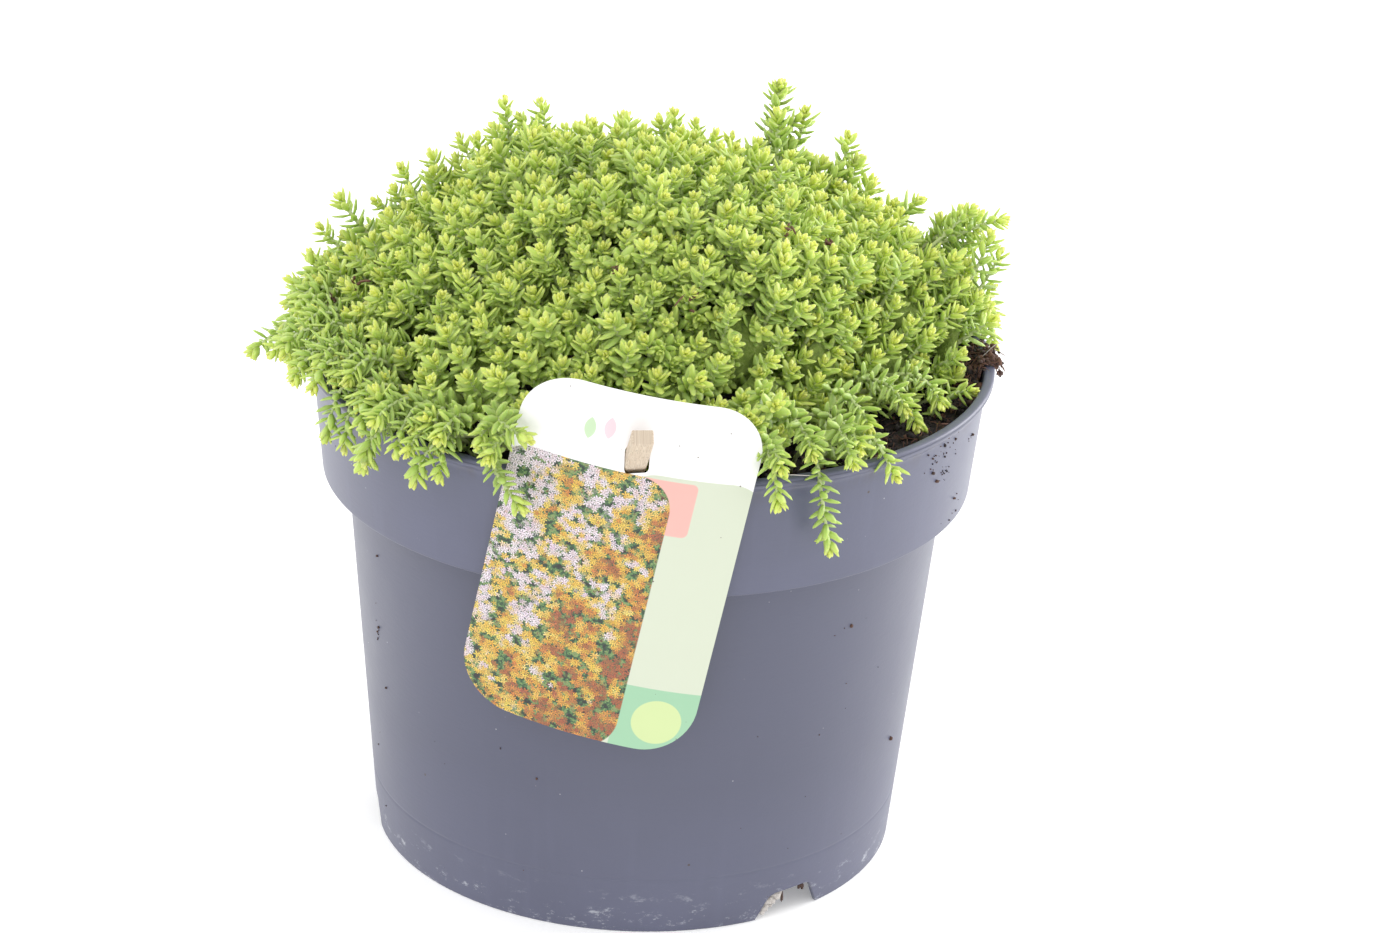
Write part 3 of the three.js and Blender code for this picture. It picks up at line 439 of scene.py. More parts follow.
def turned(profile, segments):
    """A bmesh of the profile of (radius, height) in millimetres, turned about Z."""
    form = bmesh.new()
    verts = [form.verts.new((place[0] * MM, 0.0, place[1] * MM)) for place in profile]
    edges = [form.edges.new(pair) for pair in zip(verts, verts[1:])]
    bmesh.ops.spin(
        form,
        geom=verts + edges,
        axis=(0, 0, 1),
        cent=(0, 0, 0),
        angle=math.tau,
        steps=segments,
        use_merge=True,
    )
    bmesh.ops.remove_doubles(form, verts=form.verts, dist=1e-6)
    bmesh.ops.recalc_face_normals(form, faces=form.faces)
    return form


def to_object(name, form, material, smooth=True):
    """The bmesh as an object with one material."""
    mesh = bpy.data.meshes.new(name)
    form.to_mesh(mesh)
    form.free()
    mesh.materials.append(material)
    if smooth:
        mesh.shade_smooth()
    return linked(name, mesh)


def settle(piece):
    """Turns the piece's modifiers into plain mesh."""
    graph = bpy.context.evaluated_depsgraph_get()
    solved = piece.evaluated_get(graph)
    mesh = bpy.data.meshes.new_from_object(solved, preserve_all_data_layers=True, depsgraph=graph)
    piece.modifiers.clear()
    piece.data = mesh


def cut(piece, cutter):
    """Cuts the cutter's shape out of the piece."""
    modifier = piece.modifiers.new("cut", "BOOLEAN")
    modifier.operation = "DIFFERENCE"
    modifier.solver = "MANIFOLD"
    modifier.object = cutter
    settle(piece)
    bpy.data.objects.remove(cutter)


def pot_radius(height):
    """Outside radius of the pot's wall at a height."""
    if height < BAND_BOTTOM:
        return BASE_RADIUS + (BODY_TOP_RADIUS - BASE_RADIUS) * height / BAND_BOTTOM
    share = (height - BAND_BOTTOM) / (BAND_TOP - BAND_BOTTOM)
    return BAND_BOTTOM_RADIUS + (BAND_TOP_RADIUS - BAND_BOTTOM_RADIUS) * share


def attach(piece, slot, *nodes):
    """The piece rides with the object and stands for the nodes. Its slot is not used."""
    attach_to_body(piece, "root")
    if nodes:
        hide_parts(*nodes)


# Materials


class Shader:
    """Builds one procedural material, node by node."""

    def __init__(self, name):
        self.material = bpy.data.materials.new(name)
        self.material.use_nodes = True
        self.tree = self.material.node_tree
        self.surface = self.tree.nodes["Principled BSDF"]

    def feed(self, socket, value):
        """Links or sets one input."""
        if isinstance(value, bpy.types.NodeSocket):
            self.tree.links.new(value, socket)
        else:
            socket.default_value = value

    def node(self, kind, inputs=None, **settings):
        """A new node with those settings and inputs."""
        new = self.tree.nodes.new(kind)
        for name, value in settings.items():
            setattr(new, name, value)
        for name, value in (inputs or {}).items():
            self.feed(new.inputs[name], value)
        return new

    def place(self):
        """Where the surface is, in metres."""
        return self.node("ShaderNodeTexCoord").outputs["Object"]

    def stretched(self, vector, scale, offset=(0, 0, 0)):
        """The vector scaled along each axis."""
        inputs = {"Vector": vector, "Scale": scale, "Location": offset}
        return self.node("ShaderNodeMapping", inputs).outputs["Vector"]

    def noise(self, vector, scale, detail=4.0, roughness=0.55):
        """Soft noise from 0 to 1."""
        inputs = {"Vector": vector, "Scale": scale, "Detail": detail, "Roughness": roughness}
        return self.node("ShaderNodeTexNoise", inputs).outputs["Fac"]

    def cells(self, vector, scale):
        """How far it is to the middle of the nearest cell of a pattern."""
        return self.node("ShaderNodeTexVoronoi", {"Vector": vector, "Scale": scale}).outputs["Distance"]

    def math(self, operation, first, second=0.0):
        """One sum of two values."""
        new = self.node("ShaderNodeMath", operation=operation)
        self.feed(new.inputs[0], first)
        self.feed(new.inputs[1], second)
        return new.outputs[0]

    def times(self, *values):
        """The values multiplied."""
        return functools.reduce(functools.partial(self.math, "MULTIPLY"), values)

    def plus(self, *values):
        """The values added."""
        return functools.reduce(functools.partial(self.math, "ADD"), values)

    def vector(self, operation, first, second=(0, 0, 0), output="Vector"):
        """One sum of two vectors."""
        new = self.node("ShaderNodeVectorMath", operation=operation)
        self.feed(new.inputs[0], first)
        self.feed(new.inputs[1], second)
        return new.outputs[output]

    def between(self, value, low, high):
        """0 below low and 1 above high, with a straight rise between."""
        inputs = {"Value": value, "From Min": low, "From Max": high}
        return self.node("ShaderNodeMapRange", inputs, clamp=True).outputs["Result"]

    def stretch(self, value, start, end):
        """1 between the start and the end, each a pair of values that it rises or falls between."""
        return self.times(self.between(value, *start), self.between(value, *end))

    def mix(self, share, first, second, blend="MIX"):
        """Two colours mixed."""
        new = self.node("ShaderNodeMix", data_type="RGBA", blend_type=blend)
        self.feed(new.inputs[0], share)
        self.feed(new.inputs[6], first)
        self.feed(new.inputs[7], second)
        return new.outputs[2]

    def ramp(self, value, stops):
        """A colour between stops of (position, colour)."""
        new = self.node("ShaderNodeValToRGB", {"Fac": value})
        elements = new.color_ramp.elements
        while len(elements) < len(stops):
            elements.new(0.5)
        for element, (position, colour) in zip(elements, stops):
            element.position = position
            element.color = colour
        return new.outputs["Color"]

    def tint(self):
        """The four parts of the piece's tint."""
        new = self.node("ShaderNodeAttribute", attribute_name="tint")
        split = self.node("ShaderNodeSeparateColor", {"Color": new.outputs["Color"]})
        return split.outputs["Red"], split.outputs["Green"], split.outputs["Blue"], new.outputs["Alpha"]

    def bump(self, height, strength, distance):
        """Feeds the surface with a bump of that height."""
        inputs = {"Height": height, "Strength": strength, "Distance": distance}
        self.feed(self.surface.inputs["Normal"], self.node("ShaderNodeBump", inputs).outputs["Normal"])

    def finish(self, colour, roughness, specular=0.5, subsurface=0.0, radius=(1.0, 1.0, 1.0), depth=0.001):
        """Feeds the surface and gives back the material."""
        inputs = self.surface.inputs
        self.feed(inputs["Base Color"], colour)
        self.feed(inputs["Roughness"], roughness)
        inputs["Specular IOR Level"].default_value = specular
        inputs["Subsurface Weight"].default_value = subsurface
        inputs["Subsurface Radius"].default_value = radius
        inputs["Subsurface Scale"].default_value = depth
        return self.material


def solid(colour, share=1.0):
    """A colour of three numbers with its alpha, made darker or lighter by share."""
    return tuple(min(1.0, value * share) for value in colour[:3]) + (1.0,)


def plastic_material(settings):
    """Dull grey-blue moulded plastic with smudges, dust, fine scratches and painted shade on the middle of
    the wall.
    """
    shader = Shader("pot_plastic")
    place = shader.place()
    smudges = shader.noise(place, 22.0, 5.0, 0.6)
    dull, bright, shaded = (solid(settings.colour, share) for share in (0.94, 1.1, 0.74))
    colour = shader.mix(shader.between(smudges, 0.35, 0.75), dull, bright)
    streaks = shader.noise(shader.stretched(place, (1.0, 1.0, 0.045)), 210.0, 3.0, 0.5)
    colour = shader.mix(shader.between(streaks, 0.55, 0.9), colour, bright)
    height = shader.node("ShaderNodeSeparateXYZ", {"Vector": place}).outputs["Z"]
    # Painted shade: the middle of the wall is painted a little darker than the foot and the band.
    middle = shader.stretch(height, *PAINTED_SHADE_HEIGHTS)
    colour = shader.mix(shader.times(middle, 0.75), colour, shaded)
    # Pale scuffs gather near the foot, where the pot stood on benches.
    low = shader.between(height, *FOOT_SCUFFS)
    scuffs = shader.between(shader.noise(shader.stretched(place, (1, 1, 2.2)), 110.0, 9.0, 0.8), 0.56, 0.66)
    colour = shader.mix(shader.times(low, scuffs, 0.7), colour, (0.55, 0.57, 0.62, 1))
    # Patchy darker marks just under the lip.
    lip = shader.stretch(height, *LIP_MARKS)
    marks = shader.between(shader.noise(shader.stretched(place, (1, 1, 0.6)), 120.0, 4.0, 0.7), 0.5, 0.66)
    colour = shader.mix(shader.times(lip, marks, 0.55), colour, (0.07, 0.065, 0.085, 1))
    # Dried splashes of compost.
    dots = shader.between(shader.cells(place, 95.0), 0.055, 0.035)
    rare = shader.between(shader.noise(place, 31.0, 1.0), 0.62, 0.66)
    colour = shader.mix(shader.times(dots, rare), colour, (0.05, 0.035, 0.03, 1.0))
    dust = shader.between(shader.cells(place, 240.0), 0.07, 0.04)
    few = shader.between(shader.noise(place, 57.0, 1.0), 0.6, 0.64)
    colour = shader.mix(shader.times(dust, few, 0.6), colour, (0.5, 0.5, 0.52, 1))
    grain = shader.noise(place, 900.0, 2.0, 0.5)
    scratches = shader.noise(shader.stretched(place, (1.0, 1.0, 6.0)), 160.0, 2.0, 0.6)
    relief = shader.plus(shader.times(grain, 0.35), scratches)
    shader.bump(relief, 0.25, 0.0002)
    roughness = shader.plus(shader.times(smudges, 0.2), 0.3)
    return shader.finish(colour, roughness, specular=0.5)


def soil_material(settings):
    """Dark damp compost with brown fibre."""
    shader = Shader("potting_soil")
    place = shader.place()
    clumps = shader.noise(place, 300.0, 8.0, 0.7)
    colour = shader.ramp(
        clumps,
        (
            (0.3, solid(settings.colour, 0.35)),
            (0.52, solid(settings.colour)),
            (0.68, solid(settings.fibre_colour, 0.6)),
            (0.8, solid(settings.fibre_colour)),
        ),
    )
    shader.bump(shader.noise(place, 600.0, 6.0, 0.7), 0.9, 0.0012)
    return shader.finish(colour, 0.85, specular=0.35)


def crumb_material(settings):
    """Crumbs and fibres of compost, each with a tint of its own."""
    shader = Shader("soil_crumbs")
    warm, shade, pale, _ = shader.tint()
    place = shader.place()
    mottled = shader.noise(place, 1400.0, 4.0, 0.6)
    dark = shader.mix(shade, solid(settings.colour, 0.4), solid(settings.colour, 1.5))
    colour = shader.mix(warm, dark, solid(settings.fibre_colour, 1.1))
    colour = shader.mix(pale, colour, (0.7, 0.65, 0.61, 1.0))
    colour = shader.mix(shader.times(mottled, 0.4), colour, solid(settings.colour, 0.4))
    shader.bump(mottled, 0.7, 0.0004)
    return shader.finish(colour, 0.8, specular=0.35)


def leaf_material(settings):
    """Waxy green leaves, yellow in the heart of a shoot and dark lower down it."""
    shader = Shader("leaf")
    youth, along, chance, brightness = shader.tint()
    place = shader.place()
    patches = shader.noise(place, 35.0, 2.0)
    weights = ((youth, 0.72), (along, 0.13), (chance, 0.13), (patches, 0.1), (brightness, 0.1))
    value = shader.plus(*(shader.times(part, weight) for part, weight in weights))
    colour = shader.ramp(
        value,
        (
            (0.05, solid(settings.shade_colour)),
            (0.3, solid(settings.leaf_colour)),
            (0.62, solid(settings.young_colour)),
            (0.95, solid(settings.heart_colour)),
        ),
    )
    bloom = shader.noise(place, 900.0, 3.0, 0.6)
    colour = shader.mix(shader.times(bloom, 0.18), colour, (0.62, 0.72, 0.5, 1.0))
    shader.bump(bloom, 0.25, 0.0003)
    roughness = shader.plus(shader.times(bloom, 0.2), 0.36)
    return shader.finish(colour, roughness, 0.4, subsurface=0.45, radius=(0.9, 1.0, 0.35), depth=0.0016)


def stem_material(settings):
    """Pale green stems that turn brown towards the foot."""
    shader = Shader("stem")
    youth, _, chance, _ = shader.tint()
    place = shader.place()
    marks = shader.noise(shader.stretched(place, (1, 1, 0.4)), 1100.0, 3.0)
    value = shader.plus(shader.times(youth, 0.8), shader.times(chance, 0.2))
    stops = ((0.0, (0.22, 0.19, 0.08, 1)), (0.3, (0.42, 0.46, 0.2, 1)), (0.8, solid(settings.stem_colour)))
    colour = shader.ramp(value, stops)
    colour = shader.mix(shader.times(marks, 0.25), colour, (0.3, 0.27, 0.12, 1.0))
    shader.bump(marks, 0.4, 0.0003)
    return shader.finish(colour, 0.5, 0.4, subsurface=0.15)


def depth_material(settings):
    """The shaded tangle of old stems deep inside the cushion."""
    shader = Shader("cushion_depth")
    place = shader.place()
    tangle = shader.noise(place, 420.0, 8.0, 0.75)
    middle = solid(settings.shade_colour, 1.1)
    colour = shader.ramp(tangle, ((0.3, (0.09, 0.12, 0.04, 1)), (0.5, middle), (0.7, (0.38, 0.46, 0.14, 1))))
    shader.bump(tangle, 1.0, 0.002)
    return shader.finish(colour, 0.8, 0.2)


def wood_material(settings):
    """Pale bare wood with grain along the stick."""
    shader = Shader("stick_wood")
    lengths = shader.node("ShaderNodeUVMap", uv_map="UVMap").outputs["UV"]
    grain = shader.noise(shader.stretched(lengths, (8.0, 0.5, 1.0)), 3.0, 6.0, 0.7)
    pores = shader.noise(shader.stretched(lengths, (9.0, 1.1, 1.0)), 4.0, 3.0, 0.6)
    lines = solid(settings.grain_colour)
    colour = shader.mix(shader.between(grain, 0.35, 0.68), lines, solid(settings.colour))
    colour = shader.mix(shader.between(pores, 0.56, 0.7), colour, solid(settings.grain_colour, 0.55))
    shader.bump(shader.plus(grain, pores), 0.5, 0.0004)
    return shader.finish(colour, 0.7, 0.3)


def box_mask(shader, place, centre, half, corner):
    """1 inside a rectangle with rounded corners, 0 outside."""
    offset = shader.vector("SUBTRACT", place, centre + (0,))
    steps = (
        ("ABSOLUTE", (0, 0, 0)),
        ("MULTIPLY", (1, 1, 0)),
        ("SUBTRACT", (half[0] - corner, half[1] - corner, 0)),
        ("MAXIMUM", (0, 0, 0)),
    )
    for operation, second in steps:
        offset = shader.vector(operation, offset, second)
    distance = shader.vector("LENGTH", offset, output="Value")
    return shader.between(distance, corner + PRINT_EDGE, corner - PRINT_EDGE)


def disc_mask(shader, place, centre, radius):
    """1 inside a disc, 0 outside."""
    distance = shader.vector("DISTANCE", place, centre + (0,), output="Value")
    return shader.between(distance, radius + PRINT_EDGE, radius - PRINT_EDGE)


def blossoms(shader, place, width, petals, shift):
    """A field of starry blossoms: their mask, a soft one round them, their centres and chance colours."""
    moved = shader.vector("ADD", place, shift)
    flat = shader.vector("MULTIPLY", moved, (1, 1, 0))
    inputs = {"Vector": flat, "Scale": 1.0 / width, "Randomness": 0.85}
    field = shader.node("ShaderNodeTexVoronoi", inputs, voronoi_dimensions="2D")
    centre = field.outputs["Position"]
    arm = shader.vector("SUBTRACT", flat, centre)
    split = shader.node("ShaderNodeSeparateXYZ", {"Vector": arm})
    angle = shader.math("ARCTAN2", split.outputs["Y"], split.outputs["X"])
    chance = field.outputs["Color"]
    turn = shader.times(shader.node("ShaderNodeSeparateColor", {"Color": chance}).outputs[0], 6)
    wave = shader.math("COSINE", shader.plus(shader.times(angle, petals), turn))
    edge = shader.plus(shader.times(wave, PETAL_REACH * width), BLOSSOM_RADIUS * width)
    distance = shader.vector("LENGTH", arm, output="Value")
    mask = shader.between(shader.math("SUBTRACT", distance, edge), 0.05 * width, -0.05 * width)
    near = shader.between(distance, 0.5 * width, 0.02 * width)
    return mask, near, shader.vector("SUBTRACT", centre, shift), chance


def card_material():
    """Printed card: a white head, a picture full of small blossoms, a pale green field and a green strip."""
    shader = Shader("label_card")
    uv = shader.node("ShaderNodeUVMap", uv_map="UVMap").outputs["UV"]
    place = shader.stretched(uv, (CARD_SIZE[0], CARD_SIZE[1], 1))
    picture = shader.ramp(
        shader.noise(place, 0.42, 6.0, 0.7),
        (
            (0.4, (0.012, 0.01, 0.01, 1)),
            (0.48, (0.02, 0.07, 0.025, 1)),
            (0.53, (0.1, 0.24, 0.06, 1)),
            (0.57, (0.24, 0.34, 0.1, 1)),
            (0.62, (0.1, 0.035, 0.02, 1)),
            (0.74, (0.03, 0.014, 0.01, 1)),
        ),
    )
    # Drifts of rust, yellow and white blossoms, laid out by slow noise over the panel.
    for width, petals, shift in BLOSSOM_LAYERS:
        mask, near, centre, chance = blossoms(shader, place, width, petals, shift)
        split = shader.node("ShaderNodeSeparateXYZ", {"Vector": centre})
        slow = shader.noise(centre, 0.085, 3.0, 0.75)
        across = shader.times(split.outputs["X"], 0.009)
        up = shader.times(split.outputs["Y"], 0.0044)
        slope = shader.times(shader.math("SUBTRACT", up, across), 0.6)
        drift = shader.plus(slope, shader.math("SUBTRACT", shader.times(slow, 1.7), 0.37))
        petal = shader.ramp(
            drift,
            (
                (0.24, (0.36, 0.09, 0.03, 1)),
                (0.34, (0.72, 0.3, 0.04, 1)),
                (0.4, (0.92, 0.56, 0.05, 1)),
                (0.53, (0.97, 0.78, 0.14, 1)),
                (0.58, (0.88, 0.79, 0.81, 1)),
                (0.7, (0.97, 0.94, 0.95, 1)),
            ),
        )
        shade = shader.plus(shader.times(shader.noise(place, 1.9, 3.0, 0.75), 2.6), -0.4)
        petal = shader.mix(1.0, petal, shade, "MULTIPLY")
        petal = shader.mix(0.35, petal, chance, "SOFT_LIGHT")
        petal = shader.mix(shader.times(near, 0.3), petal, (0.5, 0.22, 0.05, 1))
        present = shader.between(shader.noise(centre, 0.2, 2.0), 0.44, 0.48)
        picture = shader.mix(shader.times(near, present, 0.9), picture, (0.03, 0.03, 0.02, 1))
        picture = shader.mix(shader.times(mask, present), picture, petal)
    picture = shader.mix(1.0, picture, (0.93, 0.88, 0.97, 1), "MULTIPLY")
    field = box_mask(shader, place, *CARD_FIELD)
    colour = shader.mix(field, (0.93, 0.92, 0.925, 1), (0.57, 0.62, 0.48, 1))
    strip = shader.times(box_mask(shader, place, *CARD_STRIP), field)
    colour = shader.mix(strip, colour, (0.28, 0.52, 0.32, 1))
    disc = shader.times(disc_mask(shader, place, *CARD_DISC), field)
    colour = shader.mix(disc, colour, (0.55, 0.67, 0.3, 1))
    colour = shader.mix(box_mask(shader, place, *CARD_ACCENT), colour, (0.76, 0.39, 0.34, 1))
    colour = shader.mix(box_mask(shader, place, *CARD_PICTURE), colour, picture)
    # Two plain leaf shapes in the white head, each where two discs overlap.
    for centre, tone in PRINTED_LEAVES:
        sides = (centre[0] - PRINTED_LEAF_SPREAD, centre[0] + PRINTED_LEAF_SPREAD)
        discs = [disc_mask(shader, place, (side, centre[1]), PRINTED_LEAF_RADIUS) for side in sides]
        colour = shader.mix(shader.times(*discs), colour, tone)
    specks = shader.between(shader.cells(place, 0.16), 0.05, 0.035)
    colour = shader.mix(specks, colour, (0.12, 0.09, 0.07, 1))
    sheen = shader.noise(place, 0.12, 2.0)
    shader.bump(sheen, 0.12, 0.0006)
    roughness = shader.plus(shader.times(sheen, 0.15), 0.3)
    return shader.finish(colour, roughness, 0.5)


def floor_material(settings):
    """A pale seamless floor."""
    shader = Shader("floor")
    place = shader.place()
    tone = shader.noise(place, 3.0, 2.0)
    colour = shader.mix(tone, solid(settings.floor_colour, 0.99), solid(settings.floor_colour))
    shader.surface.inputs["Emission Color"].default_value = (1.0, 1.0, 1.0, 1.0)
    shader.surface.inputs["Emission Strength"].default_value = FLOOR_GLOW
    return shader.finish(colour, 0.9, 0.1)


# Settings that a user would change


class StonecropStage(bpy.types.PropertyGroup):
    """Light and floor."""

    floor_size: FloatProperty(name="Floor size", description="Side of the floor", default=8.0, unit="LENGTH")
    floor_colour: FloatVectorProperty(
        name="Floor colour", description="Colour of the floor", default=(0.97, 0.97, 0.97), subtype="COLOR"
    )
    sky: FloatProperty(
        name="Surrounding light", description="Strength of the light from all round", default=1.08
    )
    key: FloatProperty(
        name="Main light", description="Power of the soft main light", default=8.0, unit="POWER"
    )


class StonecropPot(bpy.types.PropertyGroup):
    """The pot."""

    segments: IntProperty(name="Segments", description="Faces round the pot", default=144, min=24)
    colour: FloatVectorProperty(
        name="Plastic", description="Colour of the plastic", default=(0.079, 0.084, 0.138), subtype="COLOR"
    )


class StonecropSoil(bpy.types.PropertyGroup):
    """The soil."""

    crumbs: IntProperty(name="Crumbs", description="Loose crumbs that lie on the soil", default=2200, min=0)
    fibres: IntProperty(name="Fibres", description="Loose fibres that lie on the soil", default=320, min=0)
    colour: FloatVectorProperty(
        name="Soil", description="Colour of the damp soil", default=(0.024, 0.018, 0.018), subtype="COLOR"
    )
    fibre_colour: FloatVectorProperty(
        name="Fibre", description="Colour of the fibre in it", default=(0.17, 0.075, 0.045), subtype="COLOR"
    )


class StonecropCard(bpy.types.PropertyGroup):
    """The printed card and its stick."""

    thickness: FloatProperty(
        name="Thickness", description="Thickness of the card", default=0.0005, unit="LENGTH", precision=5
    )
    colour: FloatVectorProperty(
        name="Wood", description="Colour of the wood", default=(0.72, 0.62, 0.49), subtype="COLOR"
    )
    grain_colour: FloatVectorProperty(
        name="Grain", description="Colour of its grain", default=(0.5, 0.38, 0.27), subtype="COLOR"
    )


class StonecropFoliage(bpy.types.PropertyGroup):
    """The shoots and leaves."""

    shoots: IntProperty(name="Shoots", description="Shoots over the cushion", default=620, min=1)
    leaf_length: FloatProperty(
        name="Leaf length",
        description="Length of a full-grown leaf",
        default=0.0059,
        unit="LENGTH",
        precision=4,
    )
    leaf_run: FloatProperty(
        name="Leafy length", description="Leafy length at the end of a shoot", default=0.015, unit="LENGTH"
    )
    shade_colour: FloatVectorProperty(
        name="Old leaf", description="Colour of shaded leaves", default=(0.2, 0.29, 0.045), subtype="COLOR"
    )
    leaf_colour: FloatVectorProperty(
        name="Leaf", description="Colour of full-grown leaves", default=(0.36, 0.53, 0.075), subtype="COLOR"
    )
    young_colour: FloatVectorProperty(
        name="Young leaf", description="Colour of young leaves", default=(0.52, 0.67, 0.095), subtype="COLOR"
    )
    heart_colour: FloatVectorProperty(
        name="Heart", description="Colour of the newest leaves", default=(0.7, 0.76, 0.11), subtype="COLOR"
    )
    stem_colour: FloatVectorProperty(
        name="Stem", description="Colour of young stems", default=(0.54, 0.66, 0.28), subtype="COLOR"
    )


# Operators, one for each piece


class STONECROP_OT_stage(bpy.types.Operator):
    """Add the camera, the light and the floor"""

    bl_idname = "stonecrop.stage"
    bl_label = "Stage"

    def execute(self, context):
        scene = context.scene
        settings = scene.stonecrop_stage
        scene.view_settings.view_transform = "Standard"
        scene.view_settings.gamma = PICTURE_GAMMA
        self.camera(scene)
        world = bpy.data.worlds.new("surroundings")
        world.use_nodes = True
        background = world.node_tree.nodes["Background"]
        background.inputs["Color"].default_value = (1, 1, 1, 1)
        background.inputs["Strength"].default_value = settings.sky
        scene.world = world
        for name, place, size, share in LIGHTS:
            self.light(name, place, size, settings.key * share)
        floor = bmesh.new()
        bmesh.ops.create_grid(floor, x_segments=4, y_segments=4, size=settings.floor_size / 2)
        piece = to_object("floor", floor, floor_material(settings), smooth=False)
        return {"FINISHED"}

    def camera(self, scene):
        """The camera, where the photograph was taken from."""
        lens = bpy.data.cameras.new("camera")
        lens.lens = CAMERA_LENS
        lens.sensor_width = 36
        lens.clip_start = 0.05
        right = Vector(CAMERA_RIGHT)
        up = Vector(CAMERA_UP)
        turn = Matrix((right, up, right.cross(up))).transposed().to_4x4()
        scene.camera = linked("camera", lens)
        scene.camera.matrix_world = Matrix.Translation(CAMERA_PLACE) @ turn

    def light(self, name, place, size, power):
        """A large soft light that faces the pot."""
        lamp = bpy.data.lights.new(name, "AREA")
        lamp.shape = "DISK"
        lamp.size = size
        lamp.energy = power
        piece = linked(name, lamp)
        piece.location = place
        aim = Vector((0, 0, LIT_HEIGHT)) - Vector(place)
        piece.rotation_euler = aim.to_track_quat("-Z", "Y").to_euler()


class STONECROP_OT_pot(bpy.types.Operator):
    """Add the plastic pot, with its rim band, foot notches and drain holes"""

    bl_idname = "stonecrop.pot"
    bl_label = "Pot"

    def execute(self, context):
        settings = context.scene.stonecrop_pot
        channel = pot_radius(FLOOR_RAISE) - WALL
        inside = FLOOR_RAISE + FOOT_DISC_THICKNESS
        under = RING_HEIGHT - RING_REACH
        over = RING_HEIGHT + RING_REACH
        corners = (
            (0, 0, 0),
            (FOOT_DISC_RADIUS, 0, 1.5),
            (FOOT_DISC_RADIUS + 4, FLOOR_RAISE, 1),
            (channel, FLOOR_RAISE, 0.4),
            (BASE_RADIUS - WALL, 0, 0.5),
            (BASE_RADIUS, 0, 0.6),
            (pot_radius(under), under, 0.3),
            (pot_radius(RING_HEIGHT) - RING_DEPTH, RING_HEIGHT, 0.2),
            (pot_radius(over), over, 0.3),
            (BODY_TOP_RADIUS, BAND_BOTTOM, 0.8),
            (BAND_BOTTOM_RADIUS, BAND_BOTTOM, 0.7),
            (BAND_TOP_RADIUS, BAND_TOP, 1.2),
            (RIM_RADIUS, LIP_BOTTOM, 0.8),
            (RIM_RADIUS, POT_HEIGHT, 0.9),
            (RIM_INNER_RADIUS, POT_HEIGHT, 0.9),
            (107.2, 132.7, 1),
            (98.9, 129.1, 1),
            (channel, inside, 1),
            (FOOT_DISC_RADIUS + 4, inside, 1),
            (FOOT_DISC_RADIUS, FOOT_DISC_THICKNESS, 1),
            (0, FOOT_DISC_THICKNESS, 0),
        )
        material = plastic_material(settings)
        piece = to_object("pot_shell", turned(rounded_profile(corners), settings.segments), material)
        cut(piece, self.cutters(material))
        piece.data.shade_smooth()
        piece.data.set_sharp_from_angle(angle=math.radians(38))
        attach(piece, "pot_plastic", "pot")
        return {"FINISHED"}

    def cutters(self, material):
        """The notches in the foot and the drain holes, as one shape to cut away."""
        form = bmesh.new()
        inner, outer = NOTCH_RADII
        for azimuth in NOTCH_AZIMUTHS:
            outward = level_direction(azimuth)
            along = level_direction(azimuth + 90)
            places = [outward * inner + along * across + raised(up) for across, up in NOTCH_OUTLINE]
            face = form.faces.new([form.verts.new(place * MM) for place in places])
            grown = bmesh.ops.extrude_face_region(form, geom=[face])
            moved = [item for item in grown["geom"] if isinstance(item, bmesh.types.BMVert)]
            bmesh.ops.translate(form, verts=moved, vec=outward * (outer - inner) * MM)
        for index in range(DRAIN_COUNT):
            centre = level_direction(index * 360 / DRAIN_COUNT + 30) * DRAIN_RADIUS
            bmesh.ops.create_cone(
                form,
                cap_ends=True,
                segments=24,
                radius1=DRAIN_HOLE_RADIUS * MM,
                radius2=DRAIN_HOLE_RADIUS * MM,
                depth=8 * MM,
                matrix=Matrix.Translation((centre[0] * MM, centre[1] * MM, (FLOOR_RAISE + 1) * MM)),
            )
        bmesh.ops.recalc_face_normals(form, faces=form.faces)
        return to_object("cutters", form, material, smooth=False)


def soil_height(x, y):
    """Height of the soil's rough surface at a place, in millimetres."""
    height = SOIL_LEVEL + 1.4 * math.sin(0.11 * x + 1) * math.cos(0.09 * y)
    height += 1.6 * noise.noise(Vector((x * 0.16, y * 0.16, 3.0)))
    height += 0.9 * noise.noise(Vector((x * 0.5, y * 0.5, 9.0)))
    near = math.exp(-((azimuth_of((x, y)) - HEAP_AZIMUTH) / 10) ** 2)
    rise = min(1.0, max(0.0, (reach_of((x, y)) - 92) / 14))
    return height + HEAP_RISE * near * rise * rise * (3 - 2 * rise)


